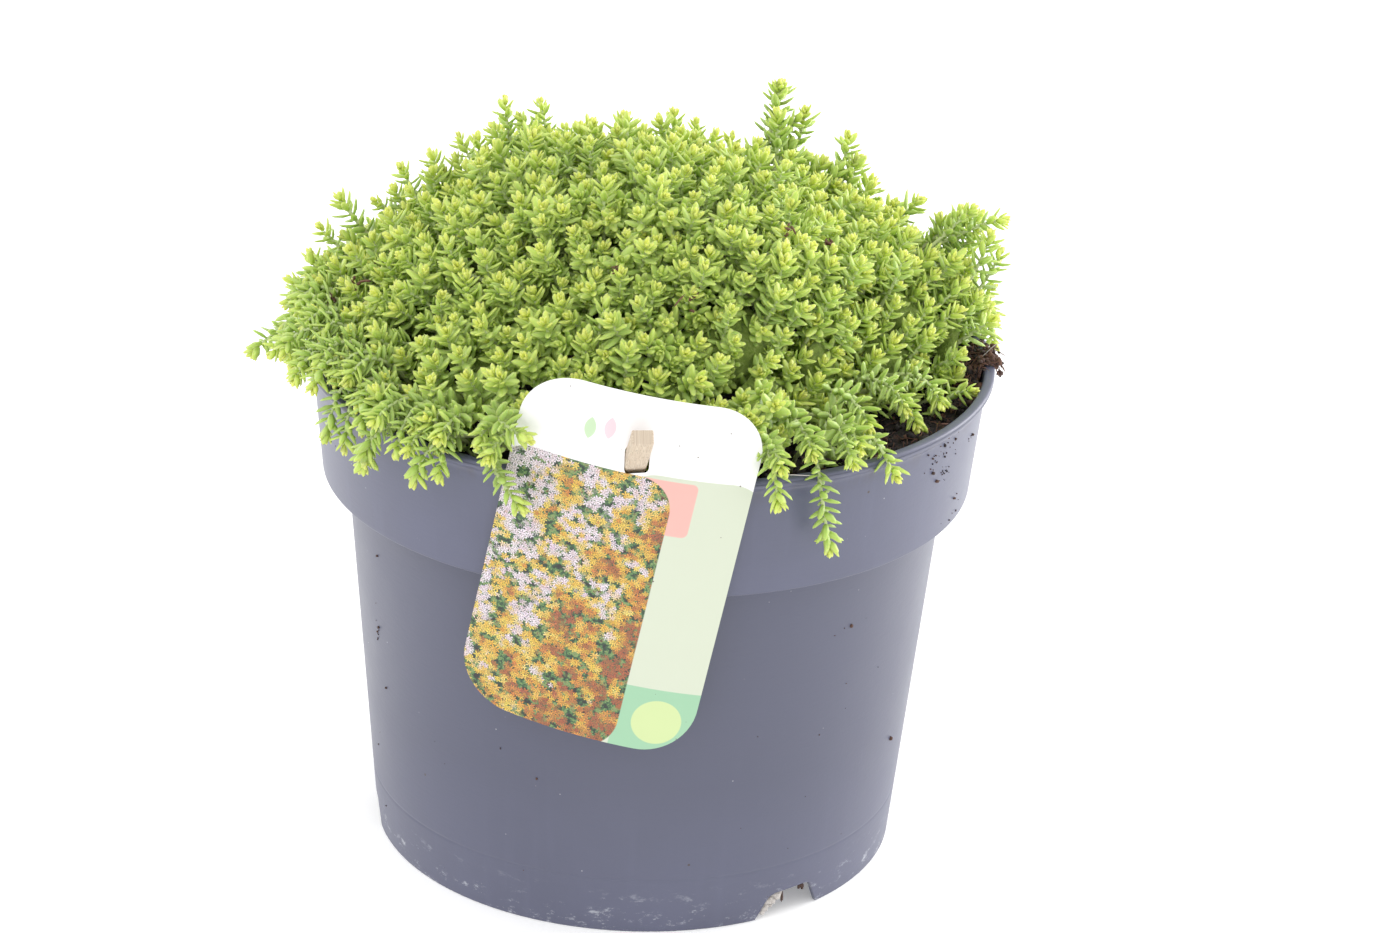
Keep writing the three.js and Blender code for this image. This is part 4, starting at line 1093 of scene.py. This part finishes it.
class STONECROP_OT_soil(bpy.types.Operator):
    """Add the soil, with its crumbs, fibres and the small heap at the rim"""

    bl_idname = "stonecrop.soil"
    bl_label = "Soil"

    def execute(self, context):
        settings = context.scene.stonecrop_soil
        profile = [(0, SOIL_LEVEL)]
        profile += [(radius, SOIL_LEVEL) for radius in np.linspace(2.5, SOIL_TOP_RADIUS, 44)]
        profile += SOIL_SIDE
        form = turned(profile, 160)
        for vert in form.verts:
            if vert.co.z > (SOIL_LEVEL - 1) * MM:
                vert.co.z = soil_height(vert.co.x / MM, vert.co.y / MM) * MM
        attach(to_object("soil_body", form, soil_material(settings)), "potting_soil", "soil")
        rng = np.random.default_rng(SEED + 1)
        heap = Heap()
        self.crumbs(heap, rng, settings.crumbs)
        self.fibres(heap, rng, settings.fibres)
        self.strays(heap, rng)
        self.notch_bits(heap, rng)
        for route in HAIRS:
            tube(heap, smooth_path(route, 14, 4), HAIR_RADIUS, (0.0, 0.5, 1.0, 1.0))
        self.hanging_roots(heap, rng)
        attach(heap.finished("soil_crumbs", [crumb_material(settings)]), "potting_soil")
        return {"FINISHED"}

    def crumbs(self, heap, rng, count):
        """Loose crumbs over the bare crescent, the heap and the rim beside it."""
        template, faces = crumb_template()
        azimuth = rng.uniform(8, 104, count)
        radius = np.sqrt(rng.uniform(70 ** 2, 109 ** 2, count))
        size = rng.gamma(1.6, 0.26, count) + 0.25
        extra = int(count * 0.3)
        azimuth[:extra] = rng.normal(HEAP_AZIMUTH, 6.5, extra)
        radius[:extra] = rng.uniform(96, 110.5, extra)
        places = np.array([level_direction(angle) for angle in azimuth]) * radius[:, None]
        places[:, 2] = [soil_height(x, y) for x, y, _ in places]
        places[:, 2] += size * rng.uniform(-0.1, 0.75, count)
        # The first ones lie on the rim and just past it, at the heap.
        over = slice(0, RIM_CRUMBS)
        outward = np.array([level_direction(angle) for angle in rng.normal(92, 2.6, RIM_CRUMBS)])
        places[over] = outward * rng.uniform(109, 117.6, RIM_CRUMBS)[:, None]
        past = np.clip(np.hypot(places[over, 0], places[over, 1]) - 114.6, 0, 3)
        lift = rng.uniform(0.4, 3.0, RIM_CRUMBS)
        places[over, 2] = POT_HEIGHT + lift - past * rng.uniform(0.5, 3.2, RIM_CRUMBS)
        size[over] = rng.uniform(0.4, 1.35, RIM_CRUMBS)
        shape = template[None] * (size[:, None, None] * rng.uniform(0.6, 1.25, (count, 1, 3)))
        shape = shape * rng.uniform(0.72, 1.2, (count, len(template), 1))
        tints = np.zeros((count, 1, 4))
        tints[:, 0, 0] = (rng.random(count) > 0.84) * rng.uniform(0.2, 0.9, count)
        tints[over, 0, 0] = rng.uniform(0.1, 0.8, RIM_CRUMBS)
        tints[:, 0, 1] = rng.random(count)
        tints[:, 0, 3] = 1
        heap.add(places[:, None, :] + shape, faces, tints)

    def fibres(self, heap, rng, count):
        """Loose fibres over the bare crescent, a third of them on the heap."""
        for index in range(count):
            angle = rng.uniform(10, 104)
            reach = math.sqrt(rng.uniform(74 ** 2, 108 ** 2))
            if index % 3 == 0:
                angle = rng.normal(HEAP_AZIMUTH, 5)
                reach = rng.uniform(100, 113)
            start = level_direction(angle) * reach
            heading = rng.normal(0, 1, 3) * (1, 1, 0.35)
            heading = unit(heading) * rng.uniform(3, 9)
            middle = start + heading * 0.5 + rng.normal(0, 0.8, 3)
            path = smooth_path((start, middle, start + heading), 6, 2)
            path = path[np.hypot(path[:, 0], path[:, 1]) < 113.5]
            if len(path) < 4:
                continue
            base = [soil_height(x, y) for x, y, _ in path]
            past = np.hypot(path[:, 0], path[:, 1]) > SOIL_TOP_RADIUS + 0.1
            path[:, 2] = np.maximum(base, past * (POT_HEIGHT + 0.2))
            path[:, 2] += 0.6 + rng.uniform(0, 1.4) * np.sin(np.linspace(0, math.pi, len(path)))
            tints = (rng.uniform(0.4, 1.0), rng.random(), 0, 1)
            tube(heap, path, rng.uniform(0.08, 0.22), tints)

    def strays(self, heap, rng):
        """Crumbs that cling to the pot, and withered bits among the leaves."""
        template, faces = crumb_template()
        for azimuth, height, spread_round, spread_up, count in SPLASHES:
            for _ in range(count):
                up = min(height + rng.normal(0, spread_up), 169.5)
                size = rng.uniform(0.12, 0.34) * (2.2 if rng.random() > 0.86 else 1.0)
                outward = level_direction(azimuth + rng.normal(0, spread_round))
                place = outward * (pot_radius(up) + size * 0.25)
                shape = template * size * rng.uniform(0.6, 1.4, 3) + place + raised(up)
                heap.add(shape[None], faces, np.array((rng.uniform(0, 0.5), rng.random(), 0, 1)))
        for place in DEAD_BITS:
            for _ in range(5):
                start = np.array(place) + rng.normal(0, 1.3, 3)
                end = start + rng.normal(0, 1, 3) * 2.4
                middle = (start + end) / 2 + rng.normal(0, 0.6, 3)
                tints = (rng.uniform(0.5, 1.0), rng.random(), 0, 1)
                tube(heap, bow(start, middle, end, 5), rng.uniform(0.3, 0.6), tints)

    def notch_bits(self, heap, rng):
        """Pale flakes and roots that are stuck in the front notch."""
        template, faces = crumb_template()
        outward = level_direction(NOTCH_AZIMUTHS[0])
        along = level_direction(NOTCH_AZIMUTHS[0] + 90)
        for across, up in NOTCH_FLAKES:
            place = outward * rng.uniform(87.2, 88.4) + along * across + raised(up)
            shape = template * rng.uniform(1.0, 1.7) * rng.uniform(0.6, 1.2, 3) + place
            heap.add(shape[None], faces, np.array((0.2, rng.random(), rng.uniform(0.75, 1.0), 1)))
        for across in (-3.5, -2.6, 4.5, 5.3, 6.0, 5.0):
            start = outward * 88 + along * across + raised(9)
            end = start + along * rng.normal(0.8, 0.8) - raised(rng.uniform(1.5, 5.5))
            middle = (start + end) / 2 + along * 0.6
            tube(heap, bow(start, middle, end, 6), 0.5, (0.3, rng.random(), 0, 1), sides=5)

    def hanging_roots(self, heap, rng):
        """Root bits that hang outside the rim at the heap."""
        for _ in range(HANGING_ROOTS):
            outward = level_direction(rng.uniform(88, 96))
            side = level_direction(rng.uniform(0, 360))
            top = outward * 111 + raised(POT_HEIGHT + 1.2)
            knee = outward * rng.uniform(114.5, 118) + raised(POT_HEIGHT + rng.uniform(0.5, 3))
            low = knee + side * 1.6 + outward * rng.uniform(-0.4, 0.8) + raised(rng.uniform(-6, 1))
            tints = (rng.uniform(0.4, 1.0), rng.random(), 0, 1)
            tube(heap, bow(top, knee, low, 7), rng.uniform(0.12, 0.32), tints)


def card_point(across, up, radius):
    """The place of a point of the bent, leaning card, in millimetres."""
    turn = math.radians(CARD_TURN)
    x = across * math.cos(turn) - up * math.sin(turn) + CARD_CENTRE[0]
    z = across * math.sin(turn) + up * math.cos(turn) + CARD_CENTRE[1]
    y = -math.sqrt(radius ** 2 - x ** 2)
    pivot = Vector((0, -RIM_RADIUS, POT_HEIGHT))
    leaned = Matrix.Rotation(math.radians(CARD_LEAN), 3, "X") @ (Vector((x, y, z)) - pivot)
    return leaned + pivot


def stick_matrix():
    """Where the stick lies, in metres: its -Y end points out of the card."""
    dip, swing = (math.radians(angle) for angle in STICK_TURNS)
    turn = Matrix.Rotation(swing, 4, "Z") @ Matrix.Rotation(dip, 4, "X")
    return Matrix.Translation(Vector(STICK_POINT) * MM) @ turn


class STONECROP_OT_card(bpy.types.Operator):
    """Add the printed card, bent round the pot"""

    bl_idname = "stonecrop.card"
    bl_label = "Card"

    def execute(self, context):
        settings = context.scene.stonecrop_card
        form = bmesh.new()
        bmesh.ops.create_grid(form, x_segments=32, y_segments=56, size=1.0)
        uv = form.loops.layers.uv.new("UVMap")
        half_height = CARD_SIZE[1] / 2
        flat = {}
        for vert in form.verts:
            up = half_height * math.sin(vert.co.y * math.pi / 2)
            past = max(0.0, abs(up) - (half_height - CARD_CORNER))
            inset = CARD_CORNER - math.sqrt(max(0.0, CARD_CORNER ** 2 - past ** 2))
            across = vert.co.x * (CARD_SIZE[0] / 2 - inset)
            flat[vert] = (across, up)
            vert.co = card_point(across, up, CARD_RADIUS) * MM
        for face in form.faces:
            for loop in face.loops:
                across, up = flat[loop.vert]
                loop[uv].uv = (across / CARD_SIZE[0] + 0.5, up / CARD_SIZE[1] + 0.5)
        piece = to_object("card", form, card_material())
        shell = piece.modifiers.new("thickness", "SOLIDIFY")
        shell.thickness = settings.thickness
        shell.offset = 0
        hole = bmesh.new()
        bmesh.ops.create_cube(hole, size=1.0)
        size = Vector((STICK_SECTION[0] + 0.1, 30, STICK_SECTION[1] + 1.1)) * MM
        bmesh.ops.scale(hole, vec=size, verts=hole.verts)
        bmesh.ops.translate(hole, vec=(0.15 * MM, 0, -0.35 * MM), verts=hole.verts)
        long_edges = [edge for edge in hole.edges if abs(edge.verts[0].co.y - edge.verts[1].co.y) > 20 * MM]
        bmesh.ops.bevel(
            hole, geom=long_edges, offset=1.2 * MM, segments=4, profile=0.5, affect="EDGES", material=-1
        )
        bmesh.ops.transform(hole, matrix=stick_matrix(), verts=hole.verts)
        settle(piece)
        cut(piece, to_object("hole", hole, piece.data.materials[0], smooth=False))
        piece.data.shade_smooth()
        piece.data.set_sharp_from_angle(angle=math.radians(35))
        attach(piece, "label_card", "label")
        return {"FINISHED"}


class STONECROP_OT_stick(bpy.types.Operator):
    """Add the wooden stick that pins the card"""

    bl_idname = "stonecrop.stick"
    bl_label = "Stick"

    def execute(self, context):
        settings = context.scene.stonecrop_card
        form = bmesh.new()
        bmesh.ops.create_cube(form, size=1.0)
        long_edges = [edge for edge in form.edges if abs(edge.verts[0].co.y - edge.verts[1].co.y) > 0.5]
        bmesh.ops.subdivide_edges(form, edges=long_edges, cuts=22, use_grid_fill=True)
        rng = np.random.default_rng(SEED + 5)
        sway = rng.normal(0, 1, (4, 2))
        for vert in form.verts:
            along = vert.co.y + 0.5
            waves = [math.sin((index + 1) * 2.4 * along + index) for index in range(4)]
            shift = [sum(sway[index, axis] * waves[index] for index in range(4)) * 0.12 for axis in (0, 1)]
            x = vert.co.x * (STICK_SECTION[0] - 0.8) + shift[0] * 0.5
            z = vert.co.z * (STICK_SECTION[1] - 0.8) + shift[1] * 0.5
            vert.co = Vector((x, -STICK_OUT + 0.2 + along * (STICK_OUT + STICK_IN - 0.4), z)) * MM
        edges = [edge for edge in form.edges if len(edge.link_faces) == 2 and edge.calc_face_angle() > 0.9]
        bmesh.ops.bevel(
            form, geom=edges, offset=0.5 * MM, segments=2, profile=0.5, affect="EDGES", material=-1
        )
        uv = form.loops.layers.uv.new("UVMap")
        for face in form.faces:
            sideways = abs(face.normal.x) > abs(face.normal.z)
            for loop in face.loops:
                place = loop.vert.co
                loop[uv].uv = ((place.z + 0.02 if sideways else place.x) / MM / 10, place.y / MM / 10)
        bmesh.ops.transform(form, matrix=stick_matrix(), verts=form.verts)
        bmesh.ops.recalc_face_normals(form, faces=form.faces)
        piece = to_object("stick", form, wood_material(settings))
        piece.data.set_sharp_from_angle(angle=math.radians(40))
        attach(piece, "stick_wood", "label_stick")
        return {"FINISHED"}


def along_path(path, reach, stops):
    """The places on a path, or the values of a list beside it, at distances from its foot."""
    return np.column_stack([np.interp(stops, reach, path[:, axis]) for axis in range(3)])


def dome_direction(turn, height):
    """The direction of length 1 with that turn about Z, in radians, and that height."""
    level = math.sqrt(1 - height ** 2)
    return np.array((math.cos(turn) * level, math.sin(turn) * level, height))


def behind_card(place):
    """The place, pulled in if it would touch the back of the card."""
    share = CARD_BACK_RADIUS / reach_of(place)
    first, last = CARD_AZIMUTHS
    if first < azimuth_of(place) < last and place[2] < CARD_TOP and share < 1:
        return place * (share, share, 1)
    return place


class Cushion:
    """Grows leafy shoots over the solid bunches, into one heap for each piece."""

    def __init__(self, settings, bunches):
        self.leaf = Leaf()
        self.rng = np.random.default_rng(SEED)
        self.full = settings.leaf_length / MM
        self.run = settings.leaf_run / MM
        self.heaps = collections.defaultdict(Heap)
        self.tips = []
        self.owners = []
        verts = []
        faces = []
        for name, mesh in bunches.items():
            start = len(verts)
            verts += [vert.co / MM for vert in mesh.vertices]
            faces += [[start + index for index in polygon.vertices] for polygon in mesh.polygons]
            self.owners += [name] * len(mesh.polygons)
        self.tree = BVHTree.FromPolygons(verts, faces)

    def grow(self, name, path, leafy=None, vigour=1.0, brightness=0.5, youth=1.0):
        """One shoot: a stem along the path from foot to tip, and leaves in a spiral down from its tip."""
        rng = self.rng
        reach = np.concatenate(([0.0], np.cumsum(np.linalg.norm(np.diff(path, axis=0), axis=1))))
        total = reach[-1]
        run = min(leafy or self.run, total * 0.96)
        distances = []
        distance = FIRST_LEAF
        while distance < run:
            distances.append(distance)
            distance += min(LEAF_GAP + GAP_GROWTH * len(distances), WIDEST_GAP)
        distances = np.array(distances)
        count = len(distances)
        spots = along_path(path, reach, total - distances)
        heading = unit(along_path(np.gradient(path, axis=0), reach, total - distances))
        spare = unit(np.cross(heading, np.array((0.37, 0.61, 0.29))))
        other = np.cross(heading, spare)
        turn = np.radians(GOLDEN_TURN) * np.arange(count) + rng.uniform(0, math.tau)
        turn += rng.normal(0, 0.2, count)
        outward = spare * np.cos(turn)[:, None] + other * np.sin(turn)[:, None]
        opening = TIP_OPENING + MORE_OPENING * (1 - np.exp(-distances / OPENING_REACH))
        opening = opening + rng.normal(0, 8, count) + OLD_LEAF_DROOP * np.clip((distances - 10) / 8, 0, 1)
        opening = np.radians(opening)[:, None]
        along = heading * np.cos(opening) + outward * np.sin(opening)
        up = heading * np.sin(opening) - outward * np.cos(opening)
        side = np.cross(along, up)
        length = np.minimum(self.full, TIP_LEAF_LENGTH + LENGTH_GROWTH * distances)
        length = length * vigour * rng.normal(1, 0.1, count)
        width = (NARROWEST_LEAF + WIDTH_GROWTH * length) * rng.normal(1, 0.08, count)
        curl = rng.normal(LEAF_CURL, 0.05, count) - 0.1 * np.clip((distances - 7) / 10, 0, 1)
        leaf = self.leaf
        points = spots[:, None] + along[:, None] * (leaf.along[None] * length[:, None])[..., None]
        points += side[:, None] * (leaf.across[None] * width[:, None])[..., None]
        lift = leaf.thick[None] * (width * THICKNESS_SHARE)[:, None]
        lift += (curl * length)[:, None] * leaf.along[None] ** 2
        points += up[:, None] * lift[..., None]
        tints = np.empty(points.shape[:2] + (4,))
        tints[..., 0] = youth * np.exp(-distances / 4.6)[:, None]
        tints[..., 1] = leaf.along[None]
        tints[..., 2] = rng.random(count)[:, None]
        tints[..., 3] = brightness
        self.heaps[name].add(points, leaf.faces, tints)
        joints = 6 if total < 32 else 12
        stem = along_path(path, reach, np.linspace(0, total - 0.6, joints))
        age = np.zeros((joints, 4))
        age[:, 0] = np.linspace(0.35, 1.0, joints)
        age[:, 2] = rng.random()
        age[:, 3] = 1
        tube(self.heaps[name], stem, np.linspace(0.85, 0.5, joints) * vigour, age, slot=1)

    def cover(self, count):
        """Shoots all over the cushion, with their tips where its solid bunches end."""
        rng = self.rng
        limit = math.cos(math.radians(DOME_LIMIT))
        for index in range(count):
            height = 1 - (1 - limit) * (index + 0.5) / count
            direction = dome_direction(math.radians(GOLDEN_TURN) * index, height)
            direction = unit(direction + rng.normal(0, 0.011, 3))
            own, owner = self.surface(direction)
            if owner is None:
                continue
            around = [self.surface(unit(direction + rng.normal(0, 0.035, 3)))[0] for _ in range(9)]
            top = max(own, *around)
            tip = DOME_CENTRE + direction * (own * 0.2 + top * 0.8 + rng.uniform(-1.5, 3.5))
            if tip[2] < LOWEST_TIP:
                continue
            if reach_of(tip) <= OVER_RIM_RADIUS or tip[2] >= OVER_RIM_HEIGHT:
                self.upright(owner, direction, tip)
            elif abs(azimuth_of(tip) - HEAP_AZIMUTH) >= HEAP_HALF_WIDTH:
                self.tips.append(tip)
                outward = unit(direction * (1, 1, 0))
                self.hanging(owner, outward, (92, 172), (112, max(192, tip[2] + 12)), tip, 18, 20)

    def sides(self):
        """Shoots on the steep sides of the cushion that the first pass left bare."""
        rng = self.rng
        for height in np.arange(*SIDE_HEIGHTS):
            for azimuth in np.arange(*SIDE_AZIMUTHS):
                outward = level_direction(azimuth + rng.normal(0, 1.2))
                place, owner = self.side_surface(outward, height + rng.normal(0, 1.5), 130, 107)
                if owner is None:
                    continue
                tip = place + outward * rng.uniform(-2.0, 1.5) + raised(1.5)
                if self.room(tip) >= SIDE_ROOM:
                    self.upright(owner, unit(outward + raised(0.45)), tip)
        for _ in range(DEEP_SHOOTS):
            outward = level_direction(rng.normal(0, 85))
            place, owner = self.side_surface(outward, rng.uniform(172, 236), 150, 104)
            if owner is None:
                continue
            tip = place - outward * rng.uniform(2.0, 8.0)
            if self.room(tip) > DEEP_ROOM:
                self.upright(owner, unit(outward + raised(0.3)), tip, leafy=8.0, youth=0.5)

    def under(self, count):
        """Lower and greener shoots that fill the gaps between the others."""
        rng = self.rng
        limit = math.cos(math.radians(DOME_LIMIT - 2))
        for _ in range(count):
            height = rng.uniform(limit, 1)
            direction = dome_direction(rng.uniform(0, math.tau), height)
            own, owner = self.surface(direction)
            if owner is None:
                continue
            tip = DOME_CENTRE + direction * (own - rng.uniform(5.0, 11.0))
            if tip[2] >= LOWEST_TIP + 2 and self.room(tip) >= UNDER_ROOM and reach_of(tip) <= CORE_RADIUS:
                self.upright(owner, direction, tip, leafy=8.0, youth=0.45)

    def skirt(self):
        """Shoots that hang over the rim, all round but at the card and the bare crescent of soil."""
        rng = self.rng
        for azimuth in np.arange(*SKIRT_AZIMUTHS):
            azimuth += rng.normal(0, 1.0)
            outward = level_direction(azimuth)
            radius = rng.uniform(118, 124.5)
            lift = 6 if -110 < azimuth < -58 else 0
            tip = outward * radius + raised(rng.uniform(161, 176) + lift)
            tip += level_direction(azimuth + 90) * rng.normal(0, 2.5)
            owner = self.nearest(outward * 110 + raised(182))
            self.hanging(owner, outward, (94, 174), (117, 197), tip, 18, 24)
            if azimuth < -55:
                outward = level_direction(azimuth + 2.1)
                tip = outward * rng.uniform(112, 119) + raised(rng.uniform(174, 187))
                self.hanging(owner, outward, (92, 176), (110, 199), tip, 16, 20)

    def marked(self):
        """The shoots that have places of their own: along the crest, out of the outline and over the rim."""
        for place in CREST_TIPS:
            tip = np.array(place, dtype=float)
            self.upright(self.nearest(tip), unit(tip - DOME_CENTRE), tip, leafy=18)
        for foot, tip in LONG_SHOOTS:
            foot = np.array(foot, dtype=float)
            root = foot * (0.8, 0.8, 1) - raised(12)
            path = bow(root, foot + (foot - root) * 0.35, np.array(tip, dtype=float), 24)
            self.grow(self.nearest(foot), path, leafy=26)
        for name, route in TRAILING_STEMS.items():
            self.grow(name, smooth_path(route, 36), leafy=46, vigour=0.95)

    def upright(self, owner, direction, tip, leafy=None, youth=1.0):
        """One shoot that ends at the tip and leans between the direction and straight up."""
        rng = self.rng
        for *place, radius in DIPS:
            if np.linalg.norm(tip - place) < radius:
                tip = tip - direction * 10
        tip = behind_card(tip)
        self.tips.append(tip)
        growth = unit(direction * 0.8 + raised(0.3) + rng.normal(0, 0.25, 3))
        size = rng.uniform(20, 27)
        bend = tip - growth * size * 0.5
        foot = bend - unit(direction + growth * 0.3) * size * 0.5
        foot[2] = max(foot[2], LOWEST_FOOT)
        vigour = rng.uniform(0.82, 1.16)
        self.grow(owner, bow(foot, bend, tip, 14), leafy, vigour, rng.random(), youth)

    def hanging(self, owner, outward, root, knee, tip, joints, leafy):
        """One shoot that lies over the rim. Its root and knee are a radius and a height."""
        root, knee = (outward * radius + raised(height) for radius, height in (root, knee))
        self.grow(owner, bow(root, knee, tip, joints), leafy, brightness=self.rng.random())

    def surface(self, direction):
        """How far out the solid bunches reach in a direction, and which one is there, if any."""
        start = Vector(DOME_CENTRE + direction * OUTSIDE_DOME)
        place, _, face, _ = self.tree.ray_cast(start, Vector(-direction), 190)
        if place is None or (place.z < 168 and reach_of(place) < 108):
            return 0.0, None
        return np.linalg.norm(np.array(place) - DOME_CENTRE), self.owners[face]

    def side_surface(self, outward, height, depth, radius):
        """Where a level ray meets a bunch within the radius, and which one, if any."""
        start = Vector(outward * OUTSIDE_RIM + raised(height))
        place, _, face, _ = self.tree.ray_cast(start, Vector(-outward), depth)
        if place is None or reach_of(place) > radius:
            return None, None
        return np.array(place), self.owners[face]

    def nearest(self, place):
        """The bunch that is nearest to a place."""
        return self.owners[self.tree.find_nearest(Vector(place))[2]]

    def room(self, tip):
        """How far it is from the tip to the nearest other one."""
        return np.linalg.norm(np.array(self.tips) - tip, axis=1).min()

    def core(self, name, mesh):
        """The dark middle of a bunch, drawn in from its solid form."""
        places = np.array([vert.co[:] for vert in mesh.vertices]) / MM
        radii = np.hypot(places[:, 0], places[:, 1])
        inside = places[(places[:, 2] > LOWEST_TIP) & (radii < CORE_RADIUS)]
        foot = inside[inside[:, 2] < inside[:, 2].min() + 6].mean(axis=0)
        foot[2] = LOWEST_TIP
        form = bmesh.new()
        for place in inside:
            reach = np.linalg.norm(place - foot)
            form.verts.new(foot + (place - foot) * max(0.05, CORE_SHARE - CORE_COVER / reach))
        bmesh.ops.convex_hull(form, input=form.verts)
        loose = [vert for vert in form.verts if not vert.link_faces]
        bmesh.ops.delete(form, geom=loose, context="VERTS")
        bmesh.ops.recalc_face_normals(form, faces=form.faces)
        points, faces = taken_apart(form)
        self.heaps[name].add(points[None], faces, np.zeros(4), 2)


class STONECROP_OT_foliage(bpy.types.Operator):
    """Add the cushion of leafy shoots"""

    bl_idname = "stonecrop.foliage"
    bl_label = "Foliage"

    def execute(self, context):
        settings = context.scene.stonecrop_foliage
        nodes = frame["nodes"]
        bunches = {name: nodes[name].data for name in nodes if name.startswith("shoot_bunch")}
        cushion = Cushion(settings, bunches)
        cushion.cover(settings.shoots)
        cushion.sides()
        cushion.under(int(settings.shoots * UNDER_SHARE))
        cushion.skirt()
        cushion.marked()
        for name, mesh in bunches.items():
            cushion.core(name, mesh)
        materials = [leaf_material(settings), stem_material(settings), depth_material(settings)]
        for name, heap in cushion.heaps.items():
            piece = heap.finished(name + "_leaves", materials)
            attach(piece, "foliage", name)
        return {"FINISHED"}


class STONECROP_PT_panel(bpy.types.Panel):
    """Lists the pieces and their settings"""

    bl_idname = "STONECROP_PT_panel"
    bl_label = "Potted stonecrop"
    bl_space_type = "VIEW_3D"
    bl_region_type = "UI"
    bl_category = "Stonecrop"

    def draw(self, context):
        for name, operators in SECTIONS:
            settings = getattr(context.scene, name)
            box = self.layout.box()
            for key in settings.bl_rna.properties.keys():
                if key not in ("rna_type", "name"):
                    box.prop(settings, key)
            for operator in operators:
                box.operator(operator)


SECTIONS = (
    ("stonecrop_stage", ("stonecrop.stage",)),
    ("stonecrop_pot", ("stonecrop.pot",)),
    ("stonecrop_soil", ("stonecrop.soil",)),
    ("stonecrop_card", ("stonecrop.card", "stonecrop.stick")),
    ("stonecrop_foliage", ("stonecrop.foliage",)),
)
GROUPS = (StonecropStage, StonecropPot, StonecropSoil, StonecropCard, StonecropFoliage)
CLASSES = GROUPS + (
    STONECROP_OT_stage,
    STONECROP_OT_pot,
    STONECROP_OT_soil,
    STONECROP_OT_card,
    STONECROP_OT_stick,
    STONECROP_OT_foliage,
    STONECROP_PT_panel,
)


def register():
    """Makes the settings, operators and panel known to Blender."""
    for item in CLASSES:
        bpy.utils.register_class(item)
    for (name, _), group in zip(SECTIONS, GROUPS):
        setattr(bpy.types.Scene, name, PointerProperty(type=group))


def unregister():
    """Takes them away again."""
    for name, _ in SECTIONS:
        delattr(bpy.types.Scene, name)
    for item in reversed(CLASSES):
        bpy.utils.unregister_class(item)


def main():
    """Builds the whole scene."""
    register()
    bpy.ops.stonecrop.stage()
    bpy.ops.stonecrop.pot()
    bpy.ops.stonecrop.soil()
    bpy.ops.stonecrop.card()
    bpy.ops.stonecrop.stick()
    bpy.ops.stonecrop.foliage()


if __name__ == "__main__":
    main()
